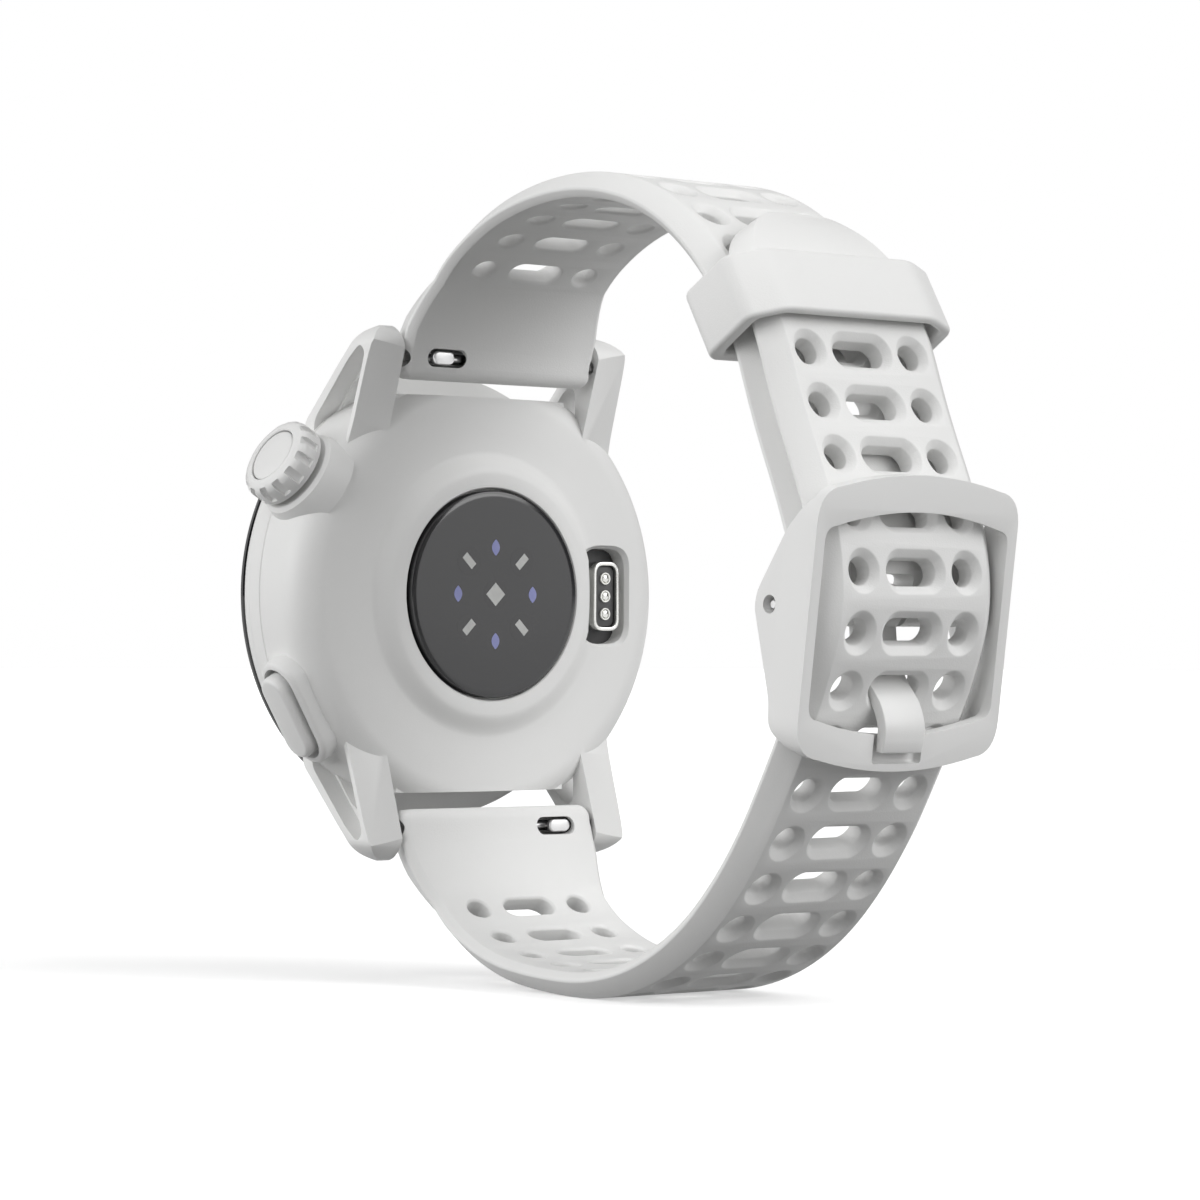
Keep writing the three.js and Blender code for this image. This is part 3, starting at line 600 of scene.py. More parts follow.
@dataclass(frozen=True)
class ArcLine:
    """A strap's middle line as a chain of arcs, each a length in millimetres and a turn in degrees."""

    y: float
    z: float
    heading: float
    outside: int
    arcs: tuple[tuple[float, float], ...]

    @property
    def length(self) -> float:
        """The line's own length."""
        return sum(length for length, _ in self.arcs)

    def at(self, s: float) -> Spot:
        """Returns the place at distance s; before the start the line runs on straight."""
        y, z, heading = self.y, self.z, math.radians(self.heading)
        if s < 0:
            return Spot(y + s * math.cos(heading), z + s * math.sin(heading), heading, self.outside)
        for length, degrees in self.arcs:
            run = min(s, length)
            turn = math.radians(degrees) * run / length
            chord = run if abs(turn) < 1e-9 else 2 * math.sin(turn / 2) * run / turn
            y += chord * math.cos(heading + turn / 2)
            z += chord * math.sin(heading + turn / 2)
            heading += turn
            s -= run
            if s <= 0:
                break
        return Spot(y, z, heading, self.outside)


@dataclass(frozen=True)
class LappedLine(ArcLine):
    """A line that leaves its own arcs and lies on another strap's outer face."""

    under: ArcLine | None = None
    lift: float = 2.65
    lap_from: float = 72.4
    lap_to: float = 46.3
    step: float = 0.25

    @cached_property
    def marks(self) -> list[tuple[float, float]]:
        """Pairs of this line's distance and the other line's, along the lap."""
        pairs = [(self.length, self.lap_from)]
        u = self.lap_from
        while u > self.lap_to:
            a, b = self.under.at(u).raised(self.lift), self.under.at(u - self.step).raised(self.lift)
            u -= self.step
            pairs.append((pairs[-1][0] + math.dist(a, b), u))
        return pairs

    def at(self, s: float) -> Spot:
        """Returns the place at distance s along the arcs and then along the lap."""
        if s <= self.length:
            return super().at(s)
        u = float(np.interp(s, *zip(*self.marks)))
        below = self.under.at(u)
        y, z = below.raised(self.lift)
        return Spot(y, z, below.heading + math.pi, self.outside)


UPPER_LINE = ArcLine(-0.4, 21.2, 78.0, 1, (
    (6, -22.5), (6, -23), (8, -18.5), (8, -13.5), (8, -16.5), (8, -20), (16, -34.5), (8, 5.5), (6, -4),
    (6.5, -55.5)))
LOWER_LINE = LappedLine(0.0, -21.4, -75.5, -1, (
    (6, 20), (6, 27), (8, 21), (8, 7.5), (10, 22), (10, 22), (10, 14.5), (10, 4), (6, 9), (6, 24),
    (6, 16.5)), UPPER_LINE)


# ---------------------------------------------------------------- strap

@dataclass
class HoleShape:
    """One countersunk hole's cutter: straight through, and opening out towards both faces."""

    half_length: float
    through: float = 1.12
    rim: float = 1.74
    sink: float = 0.62
    inner_rim: float = 1.34
    inner_sink: float = 0.22

    def cutter(self, x: float, thickness: float, row: float) -> Piece:
        """Returns the cutter at x across the strap, on a row, for a strap this thick."""
        h = thickness / 2
        slope = (self.rim - self.through) / self.sink
        inner_slope = (self.inner_rim - self.through) / self.inner_sink
        profile = [(self.inner_rim + 0.3 * inner_slope, -h - 0.3), (self.through, -h + self.inner_sink),
                   (self.through, h - self.sink), (self.rim + 0.3 * slope, h + 0.3)]
        obj = turned(profile, Axis.Z, 32)
        if self.half_length > 0:
            for vertex in obj.data.vertices:
                vertex.co.x += math.copysign(self.half_length, vertex.co.x)
        return placed(obj, Matrix.Translation((x, row, 0)))


@dataclass
class Strap:
    """A perforated silicone strap piece, made flat from one repeated row and then laid along its line."""

    name: str
    line: ArcLine
    first_row: float
    pitch: float
    rows: int
    length: float
    tip: float
    thickness: float = 2.3
    half_width: float = 9.75
    band_half: float = 7.95
    edge_drop: float = 0.8
    inner_bevel: float = 0.6
    lug_half: float = 10.85
    lug_length: float = 8.0
    lug_flare: float = 2.6
    lug_spread: float = 1.6
    lead: float = 1.9
    lug_end_radius: float = 1.2
    tip_end_radius: float = 1.0
    tip_power: float = 2.2
    hole_x: float = 5.69
    slot_half: float = 1.6
    slices: int = 8

    def row_tile(self) -> Piece:
        """Returns one row of the strap, flat, open at both ends, with its three holes."""
        w, h, p = self.half_width, self.thickness / 2, self.pitch
        tile = box((-w, 0, -h), (w, p, h))
        edit(tile)
        for side in (1, -1):
            for spot, normal in (((self.band_half, h), (self.edge_drop, w - self.band_half)),
                                 ((w - self.inner_bevel, -h), (1.0, -1.0))):
                bpy.ops.mesh.select_all(action="SELECT")
                bpy.ops.mesh.bisect(plane_co=(side * spot[0], 0, spot[1]),
                                    plane_no=(side * normal[0], 0, normal[1]), use_fill=True, clear_outer=True)
        leave()
        slot, round_hole = HoleShape(self.slot_half), HoleShape(0.0)
        cutters = [slot.cutter(0, self.thickness, p / 2)]
        cutters += [round_hole.cutter(side * self.hole_x, self.thickness, p / 2) for side in (1, -1)]
        combine(tile, joined(cutters), Join.CUT)
        for end in (0.0, p):
            pick(tile, lambda co, end=end: abs(co.y - end) < 1e-4)
            edit(tile, everything=False, mode="FACE")
            bpy.ops.mesh.delete(type="ONLY_FACE")
            leave()
        softened(tile, 0.08, 2, 22)
        edit(tile)
        for i in range(1, self.slices):
            bpy.ops.mesh.select_all(action="SELECT")
            bpy.ops.mesh.bisect(plane_co=(0, p * i / self.slices, 0), plane_no=(0, 1, 0))
        leave()
        return tile

    def flat(self) -> Piece:
        """Returns the whole flat strap: the rows, then a plain end drawn out both ways."""
        tile = self.row_tile()
        start = self.first_row - self.pitch / 2
        rows = [copied(tile, Matrix.Translation((0, start + i * self.pitch, 0))) for i in range(self.rows)]
        bpy.data.objects.remove(tile)
        strap = joined(rows)
        edit(strap)
        bpy.ops.mesh.remove_doubles(threshold=2e-3)
        leave()
        self.draw_out(strap, start, -self.lead)
        self.draw_out(strap, start + self.rows * self.pitch, self.length)
        return face_out(strap)

    def draw_out(self, strap: Piece, start: float, end: float) -> None:
        """Extrudes the open rim at start as far as end, in steps that shorten near the end, and closes it."""
        span = end - start
        count = max(10, int(abs(span) / 0.55))
        marks = [start + span * math.sin(math.pi / 2 * i / count) for i in range(1, count + 1)]
        pick(strap, lambda co: abs(co.y - start) < 1e-3)
        edit(strap, everything=False)
        here = start
        for mark in marks:
            bpy.ops.mesh.extrude_region_move(TRANSFORM_OT_translate={"value": (0, mark - here, 0)})
            here = mark
        bpy.ops.mesh.edge_face_add()
        leave()

    def laid(self, x: float, s: float, n: float) -> tuple[float, float, float]:
        """Returns where a point of the flat strap comes to lie: widened and deepened at the lugs."""
        h = self.thickness / 2
        to_lug = max(0.0, 1 - s / self.lug_length)
        wide = 1 + (self.lug_half / self.half_width - 1) * min(1.0, self.lug_spread * to_lug)
        low, high = -h, h + self.lug_flare * to_lug
        if n > 0:
            n *= high / h
        to_tip = max(0.0, (s - (self.length - self.tip)) / self.tip) if self.tip else 0.0
        wide *= math.sqrt(1 - min(0.999, to_tip ** self.tip_power))
        lug_end, tip_end = self.lug_end_radius, self.tip_end_radius
        for past, radius in ((-self.lead + lug_end - s, lug_end),
                             (s - self.length + tip_end, tip_end if self.tip else 0.0)):
            if past > 0 and radius:
                shrink = radius - math.sqrt(max(0.0, radius ** 2 - min(past, radius) ** 2))
                middle, half = (low + high) / 2, (high - low) / 2
                n -= shrink * 0.8 * (n - middle) / half
                wide *= 1 - shrink / self.half_width * 0.6
        spot = self.line.at(s)
        y, z = spot.raised(n)
        return x * wide, y, z

    def bend(self, strap: Piece) -> Piece:
        """Lays the flat strap along its line."""
        for vertex in strap.data.vertices:
            vertex.co = self.laid(*vertex.co)
        return face_out(strap)


@dataclass(frozen=True)
class BarEnd:
    """Where a spring bar and its lever sit: the head's end and the lever's side are each 1 or -1."""

    name: str
    end: int
    side: int
    y: float = BAR_Y
    z: float = BAR_Z
    strap_bore: float = 1.0
    opening_x: float = 6.25
    pad_x: float = 6.8

    def bore(self) -> Piece:
        """Returns the cutter of the strap's bore for the bar."""
        rod = turned([(self.strap_bore, -14), (self.strap_bore, 14)], Axis.X, 24)
        return placed(rod, Matrix.Translation((0, self.y, self.end * self.z)))

    def window(self) -> Piece:
        """Returns the cutter of the lever's window in the wrist face."""
        outline = obround(1.38, 0.82, (self.side * self.opening_x, self.end * self.z))
        return prism(outline, self.y, self.y + 5, Axis.Y)

    def lever(self) -> Piece:
        """Returns the sliding pin with its thumb knob."""
        pin = turned([(0.2, 0), (0.36, 0.16), (0.36, 8.14), (0.2, 8.3)], Axis.X, 20)
        placed(pin, Matrix.Translation((4.0 if self.side > 0 else -12.3, self.y, self.end * self.z)))
        at = (self.side * self.pad_x, self.end * self.z)
        combine(pin, prism(obround(0.6, 0.3, at), self.y, self.y + 1.0, Axis.Y), Join.ADD)
        knob = softened(prism(obround(0.62, 0.58, at), self.y + 0.8, self.y + 1.4, Axis.Y), 0.16, 3)
        return combine(pin, knob, Join.ADD)


BARS = (BarEnd("upper", 1, 1), BarEnd("lower", -1, -1))


@dataclass
class StrapPair:
    """Both strap pieces, cut for their bars, levers and buckle pin."""

    def build(self) -> None:
        """Makes and dresses both pieces and the levers."""
        upper = Strap("upper_strap_skin", UPPER_LINE, 10.4, 4.75, 12, UPPER_LINE.length - 1.2, 0.0)
        lower = Strap("lower_strap_skin", LOWER_LINE, 9.1, 4.72, 20, LOWER_LINE.marks[-1][0], 8.5)
        for strap, bar, node in ((upper, BARS[0], "upper_strap"), (lower, BARS[1], "lower_strap")):
            piece = strap.bend(strap.flat())
            if strap is upper:
                piece = self.with_barrel(piece)
            combine(piece, bar.bore(), Join.CUT)
            combine(piece, bar.window(), Join.CUT)
            settle(piece, strap.name, "watch", STRAP_SILICONE, [node], 36)
            settle(bar.lever(), f"{bar.name}_lever_skin", f"{bar.name}_release", STEEL,
                   [f"{bar.name}_release_lever"])

    def with_barrel(self, piece: Piece) -> Piece:
        """Adds the rolled end that the buckle pin runs through, and cuts its notch and bore."""
        place = Matrix.Translation((0, PIN_Y, PIN_Z))
        barrel = turned([(1.45, -9.6), (1.7, -9.35), (1.7, 9.35), (1.45, 9.6)], Axis.X, 32)
        combine(piece, placed(barrel, place), Join.ADD)
        notch = box((-2.7, PIN_Y - 4, PIN_Z - 3), (2.7, PIN_Y + 4, PIN_Z + 2.6))
        combine(piece, softened(notch, 0.5, 3), Join.CUT)
        bore = turned([(0.8, -12), (0.8, 12)], Axis.X, 20)
        return combine(piece, placed(bore, place), Join.CUT)


# ---------------------------------------------------------------- keeper and buckle

@dataclass
class Keeper:
    """The loose silicone loop: a flat front with sloped shoulders, and a plain back."""

    at: float = 54.6
    length: float = 6.2
    outer: Outline = field(default_factory=lambda: [(8.1, 5.1), (11.0, 3.75), (11.45, 3.1), (11.6, -1.9),
                                                    (10.7, -2.8)])
    inner: Outline = field(default_factory=lambda: [(8.0, 4.2), (10.15, 3.2), (10.15, -1.6)])

    def build(self) -> None:
        """Makes and dresses the keeper."""
        half = self.length / 2
        loop = prism(rounded(mirrored(self.outer), 0.9, 4), -half, half, Axis.Z)
        hole = prism(rounded(mirrored(self.inner), 0.5, 3), -half - 1, half + 1, Axis.Z)
        combine(loop, hole, Join.CUT)
        softened(loop, 0.42, 4, 50)
        spot = UPPER_LINE.at(self.at)
        along = Vector((0, math.cos(spot.heading), math.sin(spot.heading)))
        out = Vector((0, *spot.out))
        turn = Matrix((out.cross(along), out, along)).transposed().to_4x4()
        placed(loop, Matrix.Translation((0, spot.y, spot.z)) @ turn)
        settle(face_out(loop), "keeper_skin", "keeper", STRAP_SILICONE, ["keeper_loop"], 40)


@dataclass
class Buckle:
    """The moulded frame with its two side plates, the prong and the pin."""

    tilt: float = 8.0
    back: float = 3.65
    front: float = 4.75
    half: float = 11.1
    ear_in: float = 10.1

    @property
    def place(self) -> Matrix:
        """The move from the pin's frame, with Y square to the frame's front, to the head's."""
        return Matrix.Translation((0, PIN_Y, PIN_Z)) @ Matrix.Rotation(math.radians(-self.tilt), 4, "X")

    @staticmethod
    def bowed(half: float, top: float, bottom: float, bow: float, corner: float) -> Outline:
        """Returns a rectangle with ends that bow outwards and round corners, as [x, z] points."""
        points: Outline = []
        for z, side in ((top, 1), (bottom, -1)):
            reach = half - corner
            rise = bow * (1 - (reach / half) ** 2)
            first = ((-half, -corner), (-half, rise * 0.6), (-reach, rise))
            crest = [(reach * i / 8, bow * (1 - (reach * i / 8 / half) ** 2)) for i in range(-7, 8)]
            last = tuple((-x, y) for x, y in reversed(first))
            for piece in (first, crest, last):
                if len(piece) == 3:
                    a, b, c = (Vector(spot) for spot in piece)
                    steps = [i / 8 for i in range(9)]
                    piece = [tuple(a * (1 - t) ** 2 + b * (2 * t * (1 - t)) + c * t * t) for t in steps]
                points += [(side * x, z + side * y) for x, y in piece]
        return points

    def frame(self) -> Piece:
        """Returns the frame."""
        blank = prism(self.bowed(self.half, 9.45, -11.2, 1.75, 2.4), -3, self.front, Axis.Y)
        plate = prism(self.bowed(14, 14, -14, 0.5, 1), self.back, 6, Axis.Y)
        window = prism(self.bowed(self.ear_in, 6.6, -8.4, 1.6, 1.0), -4, 7, Axis.Y)
        combine(plate, window, Join.CUT)
        ear = rounded([(4.2, 9.2), (3.5, 9.0), (1.2, 6.2), (-1.6, 0.95), (-1.8, -0.4), (1.0, -7.6), (1.2, -9.9),
                       (3.2, -11.4), (4.2, -11.4)], 0.8, 4)
        for side in (1, -1):
            low, high = sorted((side * (self.ear_in + 0.02), side * 13.0))
            combine(plate, prism(ear, low, high, Axis.X), Join.ADD)
        combine(plate, blank, Join.KEEP_COMMON)
        softened(plate, 0.48, 4, 40)
        seat = softened(box((-2.7, 4.1, -12.3), (2.7, 6.0, -9.0)), 0.3, 3)
        combine(plate, seat, Join.CUT)
        hole = turned([(1.0, -14), (0.72, -10.6), (0.72, 10.6), (1.0, 14)], Axis.X, 24)
        combine(plate, hole, Join.CUT)
        placed(plate, self.place)
        relief = prism([(53.0, 3.5), (56.1, 3.5), (55.95, 4.6), (55.15, 7.2), (54.3, 9.3), (53.0, 9.3)],
                       -9.9, 9.9, Axis.X)
        return combine(plate, relief, Join.CUT)

    def prong(self) -> Piece:
        """Returns the tongue: an eye on the pin and a curved prong that hooks over the frame."""
        middle = [(50.7, -2.4), (51.1, -5.6), (52.3, -7.8), (53.6, -9.4), (54.2, -11.0), (54.1, -12.3),
                  (53.9, -13.2)]
        ys, zs = zip(*middle)
        last, bend = 36, 30
        fine = np.linspace(0, len(middle) - 1, last + 1)
        curve = [Vector((self.smooth_at(ys, t), self.smooth_at(zs, t))) for t in fine]
        left: Outline = []
        right: Outline = []
        for i, spot in enumerate(curve):
            run = (curve[min(i + 1, last)] - curve[max(i - 1, 0)]).normalized()
            taper = 0.5 * (1 - 0.25 * max(0.0, (i - bend) / (last - bend)))
            side = Vector((-run.y, run.x)) * taper
            left.append(tuple(spot + side))
            right.append(tuple(spot - side))
        blade = prism(left + right[::-1], -2.2, 2.2, Axis.X)
        softened(blade, 0.36, 4, 50)
        place = Matrix.Translation((0, PIN_Y, PIN_Z))
        eye = turned([(1.6, -2.2), (1.85, -1.95), (1.85, 1.95), (1.6, 2.2)], Axis.X, 32)
        combine(blade, placed(eye, place), Join.ADD)
        bore = turned([(0.8, -3), (0.8, 3)], Axis.X, 20)
        return combine(blade, placed(bore, place), Join.CUT)

    @staticmethod
    def smooth_at(values: Sequence[float], t: float) -> float:
        """Returns a Catmull-Rom value at t through evenly spaced values."""
        i = min(int(t), len(values) - 2)
        f = t - i
        a, b, c, d = (values[max(0, min(len(values) - 1, i + k))] for k in (-1, 0, 1, 2))
        square, cube = 2 * a - 5 * b + 4 * c - d, 3 * b - a - 3 * c + d
        return 0.5 * (2 * b + (c - a) * f + square * f * f + cube * f ** 3)

    def pin(self) -> Piece:
        """Returns the pin, its ends domed."""
        rod = turned([(0.3, -10.7), (0.5, -10.5), (0.5, 10.5), (0.3, 10.7)], Axis.X, 24)
        return placed(rod, Matrix.Translation((0, PIN_Y, PIN_Z)))

    def build(self) -> None:
        """Makes and dresses the frame, the tongue and the pin."""
        settle(self.frame(), "buckle_frame_skin", "buckle", TRIM_RESIN, ["buckle_frame"], 34)
        settle(self.prong(), "buckle_tongue_skin", "tongue", TRIM_RESIN, ["buckle_tongue"], 40)
        settle(self.pin(), "buckle_pin_skin", "watch", STEEL, ["buckle_pin"])


# ---------------------------------------------------------------- head

@dataclass
class Case:
    """The white resin case: a turned shell with four open lugs, two bosses and the charging recess."""

    radius: float = 20.9
    ridge_r: float = 21.0
    ridge_y: float = -7.4
    front_y: float = -9.4
    back_y: float = -1.3
    fillet: float = 3.0
    flat_z: float = 18.1
    bar_hole: float = 0.6
    bar_reach: float = 12.6

    def shell(self) -> Piece:
        """Returns the turned shell, with the raised step round the sensor and the seam's groove."""
        profile: Outline = [(9.0, -2.6), (9.0, -1.4), (9.75, -1.4), (9.75, -0.5), (9.85, -0.38), (10.1, -0.36)]
        for i in range(11):
            t = i / 10
            ease = t * t * (3 - 2 * t)
            profile.append((11.0 + 2.2 * t, -0.36 + (self.back_y + 0.36) * ease))
        profile.append((15.0, self.back_y))
        profile += arc((self.radius - self.fillet, self.back_y - self.fillet), self.fillet, 90, 0, 12)
        profile += [(self.ridge_r, self.ridge_y + 0.16), (self.ridge_r - 0.1, self.ridge_y + 0.06),
                    (self.ridge_r - 0.1, self.ridge_y - 0.06), (self.ridge_r, self.ridge_y - 0.16),
                    (20.8, self.front_y), (18.7, self.front_y), (18.7, -4.4), (17.0, -2.6)]
        return turned(profile, Axis.Y, 192, hollow=True)

    def lug(self) -> Piece:
        """Returns the open lug at +X and +Z: a pierced leg with a wider pocket in its outer face."""
        side = rounded([(-9.3, 12.0), (-9.3, 15.6), (-2.7, 22.2), (-1.95, 23.6), (-1.2, 24.2), (-0.2, 23.8),
                        (0.75, 22.9), (1.15, 21.8), (0.85, 20.1), (-0.55, 16.0), (-1.9, 12.0)], 0.7, 4)
        window = rounded([(-7.6, 15.6), (-4.4, 19.1), (-3.2, 19.7), (-2.5, 19.2), (-2.45, 16.9), (-3.0, 15.0),
                          (-3.3, 12.4), (-7.1, 12.4)], 0.5, 4)
        pocket = rounded([(-7.9, 15.7), (-2.6, 21.2), (-1.1, 22.35), (-0.25, 21.6), (-0.62, 20.1), (-1.4, 17.8),
                          (-2.2, 15.4), (-3.05, 12.5), (-7.4, 12.5)], 0.85, 6)
        plan = rounded([(11.15, 10.0), (15.4, 10.0), (14.9, 15.0), (14.75, 21.0), (14.6, 22.6), (13.7, 23.5),
                        (12.0, 24.3), (11.15, 24.3)], 0.9, 4)
        lug = prism(side, 11.0, 19.0, Axis.X)
        combine(lug, prism(plan, -13, 4, Axis.Y), Join.KEEP_COMMON)
        edit(lug)
        bpy.ops.mesh.bisect(plane_co=(14.7, 0.45, 21.6), plane_no=(0.13, 1, -0.333), use_fill=True,
                            clear_outer=True)
        leave()
        combine(lug, prism(window, 10.0, 14.0, Axis.X), Join.CUT)
        combine(lug, prism(pocket, 12.9, 20.0, Axis.X), Join.CUT)
        softened(lug, 0.22, 3, 32)
        hollow = turned([(19.6, -13), (19.6, -3.4), (18.4, -2.8)], Axis.Y, 96)
        return combine(lug, hollow, Join.CUT)

    def build(self) -> None:
        """Makes and dresses the case."""
        body = self.shell()
        for side in (1, -1):
            edit(body)
            bpy.ops.mesh.bisect(plane_co=(0, 0, side * self.flat_z), plane_no=(0, 0, side), use_fill=True,
                                clear_outer=True)
            leave()
            low, high = sorted((side * 16.6, side * (self.flat_z - 0.01)))
            filler = box((-9.6, self.front_y, low), (9.6, -2.2, high))
            combine(body, filler, Join.ADD)
        lug = self.lug()
        for sx, sz in ((1, -1), (-1, 1), (-1, -1)):
            combine(body, copied(lug, Matrix.Diagonal((sx, 1, sz, 1))), Join.ADD)
        combine(body, lug, Join.ADD)
        crown = side_place(CROWN_ANGLE, SIDE_Y)
        collar = turned([(4.6, 18.8), (4.35, 20.6), (4.15, 21.3), (3.8, 21.6), (2.6, 21.6)], Axis.Z, 64)
        combine(body, placed(collar, crown), Join.ADD)
        button = side_place(BUTTON_ANGLE, SIDE_Y)
        lip = prism(obround(2.75, 2.5), 18.8, 21.9, Axis.Z)
        softened(lip, 0.5, 4, 60)
        combine(body, placed(lip, button), Join.ADD)
        recess = prism(obround(2.65, 1.95), 20.7, 25, Axis.Z)
        combine(body, placed(recess, button), Join.CUT)
        combine(body, placed(turned([(1.8, 12), (1.8, 25)], Axis.Z, 32), crown), Join.CUT)
        combine(body, placed(turned([(1.1, 12), (1.1, 25)], Axis.Z, 24), button), Join.CUT)
        self.cut_port(body)
        for end in (1, -1):
            rod = turned([(self.bar_hole, -self.bar_reach), (self.bar_hole, self.bar_reach)], Axis.X, 20)
            combine(body, placed(rod, Matrix.Translation((0, BAR_Y, end * BAR_Z))), Join.CUT)
        settle(face_out(body), "case_shell", "watch", CASE_RESIN, ["case_body"], 30)

    def cut_port(self, body: Piece) -> None:
        """Adds the tub under the charging port and cuts its recess with a sloped rim."""
        tub = prism(rounded([(-3.4, -5.3), (3.4, -5.3), (3.4, 5.3), (-3.4, 5.3)], 2.6, 6), -4.4, -2.0, Axis.Y)
        place = Matrix.Translation((PORT_X, 0, 0))
        combine(body, placed(tub, place), Join.ADD)
        corner = [(-2.6, -4.5), (2.6, -4.5), (2.6, 4.5), (-2.6, 4.5)]
        recess = prism(rounded(corner, 2.0, 7), -3.5, 1.0, Axis.Y)
        combine(body, placed(recess, place), Join.CUT)
        rim = prism(rounded(corner, 2.0, 7), -0.5, 0.5, Axis.Y)
        for vertex in rim.data.vertices:
            if vertex.co.y > 0:
                vertex.co.x *= 1.25
                vertex.co.z *= 1.14
        combine(body, placed(rim, Matrix.Translation((PORT_X, -1.25, 0))), Join.CUT)


@dataclass
class FrontStack:
    """The bezel ring and the cover glass."""

    def build(self) -> None:
        """Makes and dresses both."""
        bezel = turned([(17.3, -9.5), (20.74, -9.5), (20.72, -10.2), (20.6, -10.42), (20.4, -10.45),
                        (17.3, -10.45)], Axis.Y, 192, hollow=True)
        settle(bezel, "bezel_ring_skin", "watch", CASE_RESIN, ["front_bezel"])
        edge = arc((20.45, -10.85), 0.25, 0, -90, 5)
        glass = turned([(20.55, -10.48), (20.7, -10.6)] + edge + [(10.0, -11.1)], Axis.Y, 192)
        settle(glass, "cover_glass_skin", "watch", COVER_GLASS, ["cover_glass"])


@dataclass
class Sensor:
    """The round dark lens on the back, with the light windows and the clear wells in its face."""

    radius: float = 9.5
    ring: float = 4.29
    slab_outline: tuple[tuple[float, float], ...] = ((-0.74, -0.36), (0.74, -0.36), (0.74, 0.36), (-0.74, 0.36))

    def build(self) -> None:
        """Makes and dresses the lens and its windows."""
        r = self.radius
        lens = turned([(r, -1.3), (r, -0.3), (r - 0.08, -0.12), (r - 0.3, -0.02), (r - 0.65, 0.0), (4.0, 0.0)],
                      Axis.Y, 160)
        settle(lens, "sensor_lens_skin", "watch", SENSOR_LENS, ["sensor_window"])
        for i in range(4):
            emitter = self.window(self.pointed(0.45, 0.76), i * 90)
            settle(emitter, f"emitter_window_{i + 1}", "watch", EMITTER, [f"pulse_led_{i + 1}"])
            slab = self.window(self.slab_outline, 45 + i * 90, turn=True)
            settle(slab, f"diode_window_{i + 1}", "watch", DIODE, [f"photodiode_{i + 1}"])
        for i in range(5):
            a = math.radians(45 + i * 90)
            reach = self.ring if i < 4 else 0.0
            well = turned([(1.35, -0.4), (1.35, 0.006), (1.0, 0.006)], Axis.Y, 40)
            placed(well, Matrix.Translation((reach * math.cos(a), 0, reach * math.sin(a))))
            settle(well, f"light_well_{i + 1}", "watch", LENS_WELL)
        centre = self.window([(-1.08, 0), (0, -1.08), (1.08, 0), (0, 1.08)])
        settle(centre, "oxygen_window", "watch", DIODE, ["oxygen_led"])

    @staticmethod
    def pointed(half_width: float, half_height: float) -> Outline:
        """Returns a pointed ellipse, long in z."""
        sweep = [-1 + i / 6 for i in range(12)]
        return [(side * half_width * (1 - t * t), side * half_height * t) for side in (1, -1) for t in sweep]

    def window(self, outline: Sequence[tuple[float, float]], angle: float | None = None,
               turn: bool = False) -> Piece:
        """Makes one window, its outer face level with the lens.

        Args:
            outline: The window's outline.
            angle: Where it is round the lens, in degrees, or None for the middle.
            turn: Turns the outline to lie along the radius.

        Returns:
            The window.
        """
        obj = prism(outline, -0.5, 0.015, Axis.Y)
        if angle is None:
            return obj
        a = math.radians(angle)
        place = Matrix.Translation((self.ring * math.cos(a), 0, self.ring * math.sin(a)))
        return placed(obj, place @ Matrix.Rotation(-a, 4, "Y") if turn else place)


@dataclass
class ChargePort:
    """The metal ring, dark insert and three domed contacts of the charging port, with a dark plate of painted
    shade on the recess floor.
    """

    x: float = PORT_X - 0.2
    pitch: float = 1.67

    @staticmethod
    def outline(inset: float) -> Outline:
        """Returns the ring's rounded rectangle, moved inwards by an inset."""
        w, h = 1.55 - inset, 3.25 - inset
        return rounded([(-w, -h), (w, -h), (w, h), (-w, h)], 1.15 - inset, 7)

    def build(self) -> None:
        """Makes and dresses the port's pieces."""
        ring = prism(self.outline(0.0), -3.35, -1.35, Axis.Y)
        hole = prism(self.outline(0.36), -4, -1, Axis.Y)
        combine(ring, hole, Join.CUT)
        softened(ring, 0.1, 3, 50)
        here = Matrix.Translation((self.x, 0, 0))
        # Painted shade: a dark plate on the recess floor stands for the deep shadow inside the charging recess.
        shade_plate = prism(rounded([(-2.55, -4.45), (2.55, -4.45), (2.55, 4.45), (-2.55, 4.45)], 1.9, 6), -3.48, -3.3,
                     Axis.Y)
        softened(shade_plate, 0.04, 1, 50)
        settle(placed(shade_plate, here), "port_painted_shade_plate", "watch", PORT_RECESS_PAINTED_SHADE)
        settle(placed(ring, here), "port_ring_skin", "watch", CONTACT, ["charge_port_shell"])
        insert = prism(self.outline(0.42), -3.35, -1.75, Axis.Y)
        softened(insert, 0.08, 2, 50)
        settle(placed(insert, here), "port_insert_skin", "watch", DARK_MOULDING,
               ["charge_port_insert"])
        for i in range(3):
            dome = turned([(0.62, -2.0), (0.62, -1.62), (0.56, -1.52), (0.46, -1.52), (0.38, -1.68),
                           (0.32, -1.52), (0.12, -1.44)], Axis.Y, 28)
            placed(dome, here @ Matrix.Translation((0, 0, (i - 1) * self.pitch)))
            settle(dome, f"contact_{i + 1}_skin", "watch", CONTACT, [f"charge_contact_{i + 1}"])


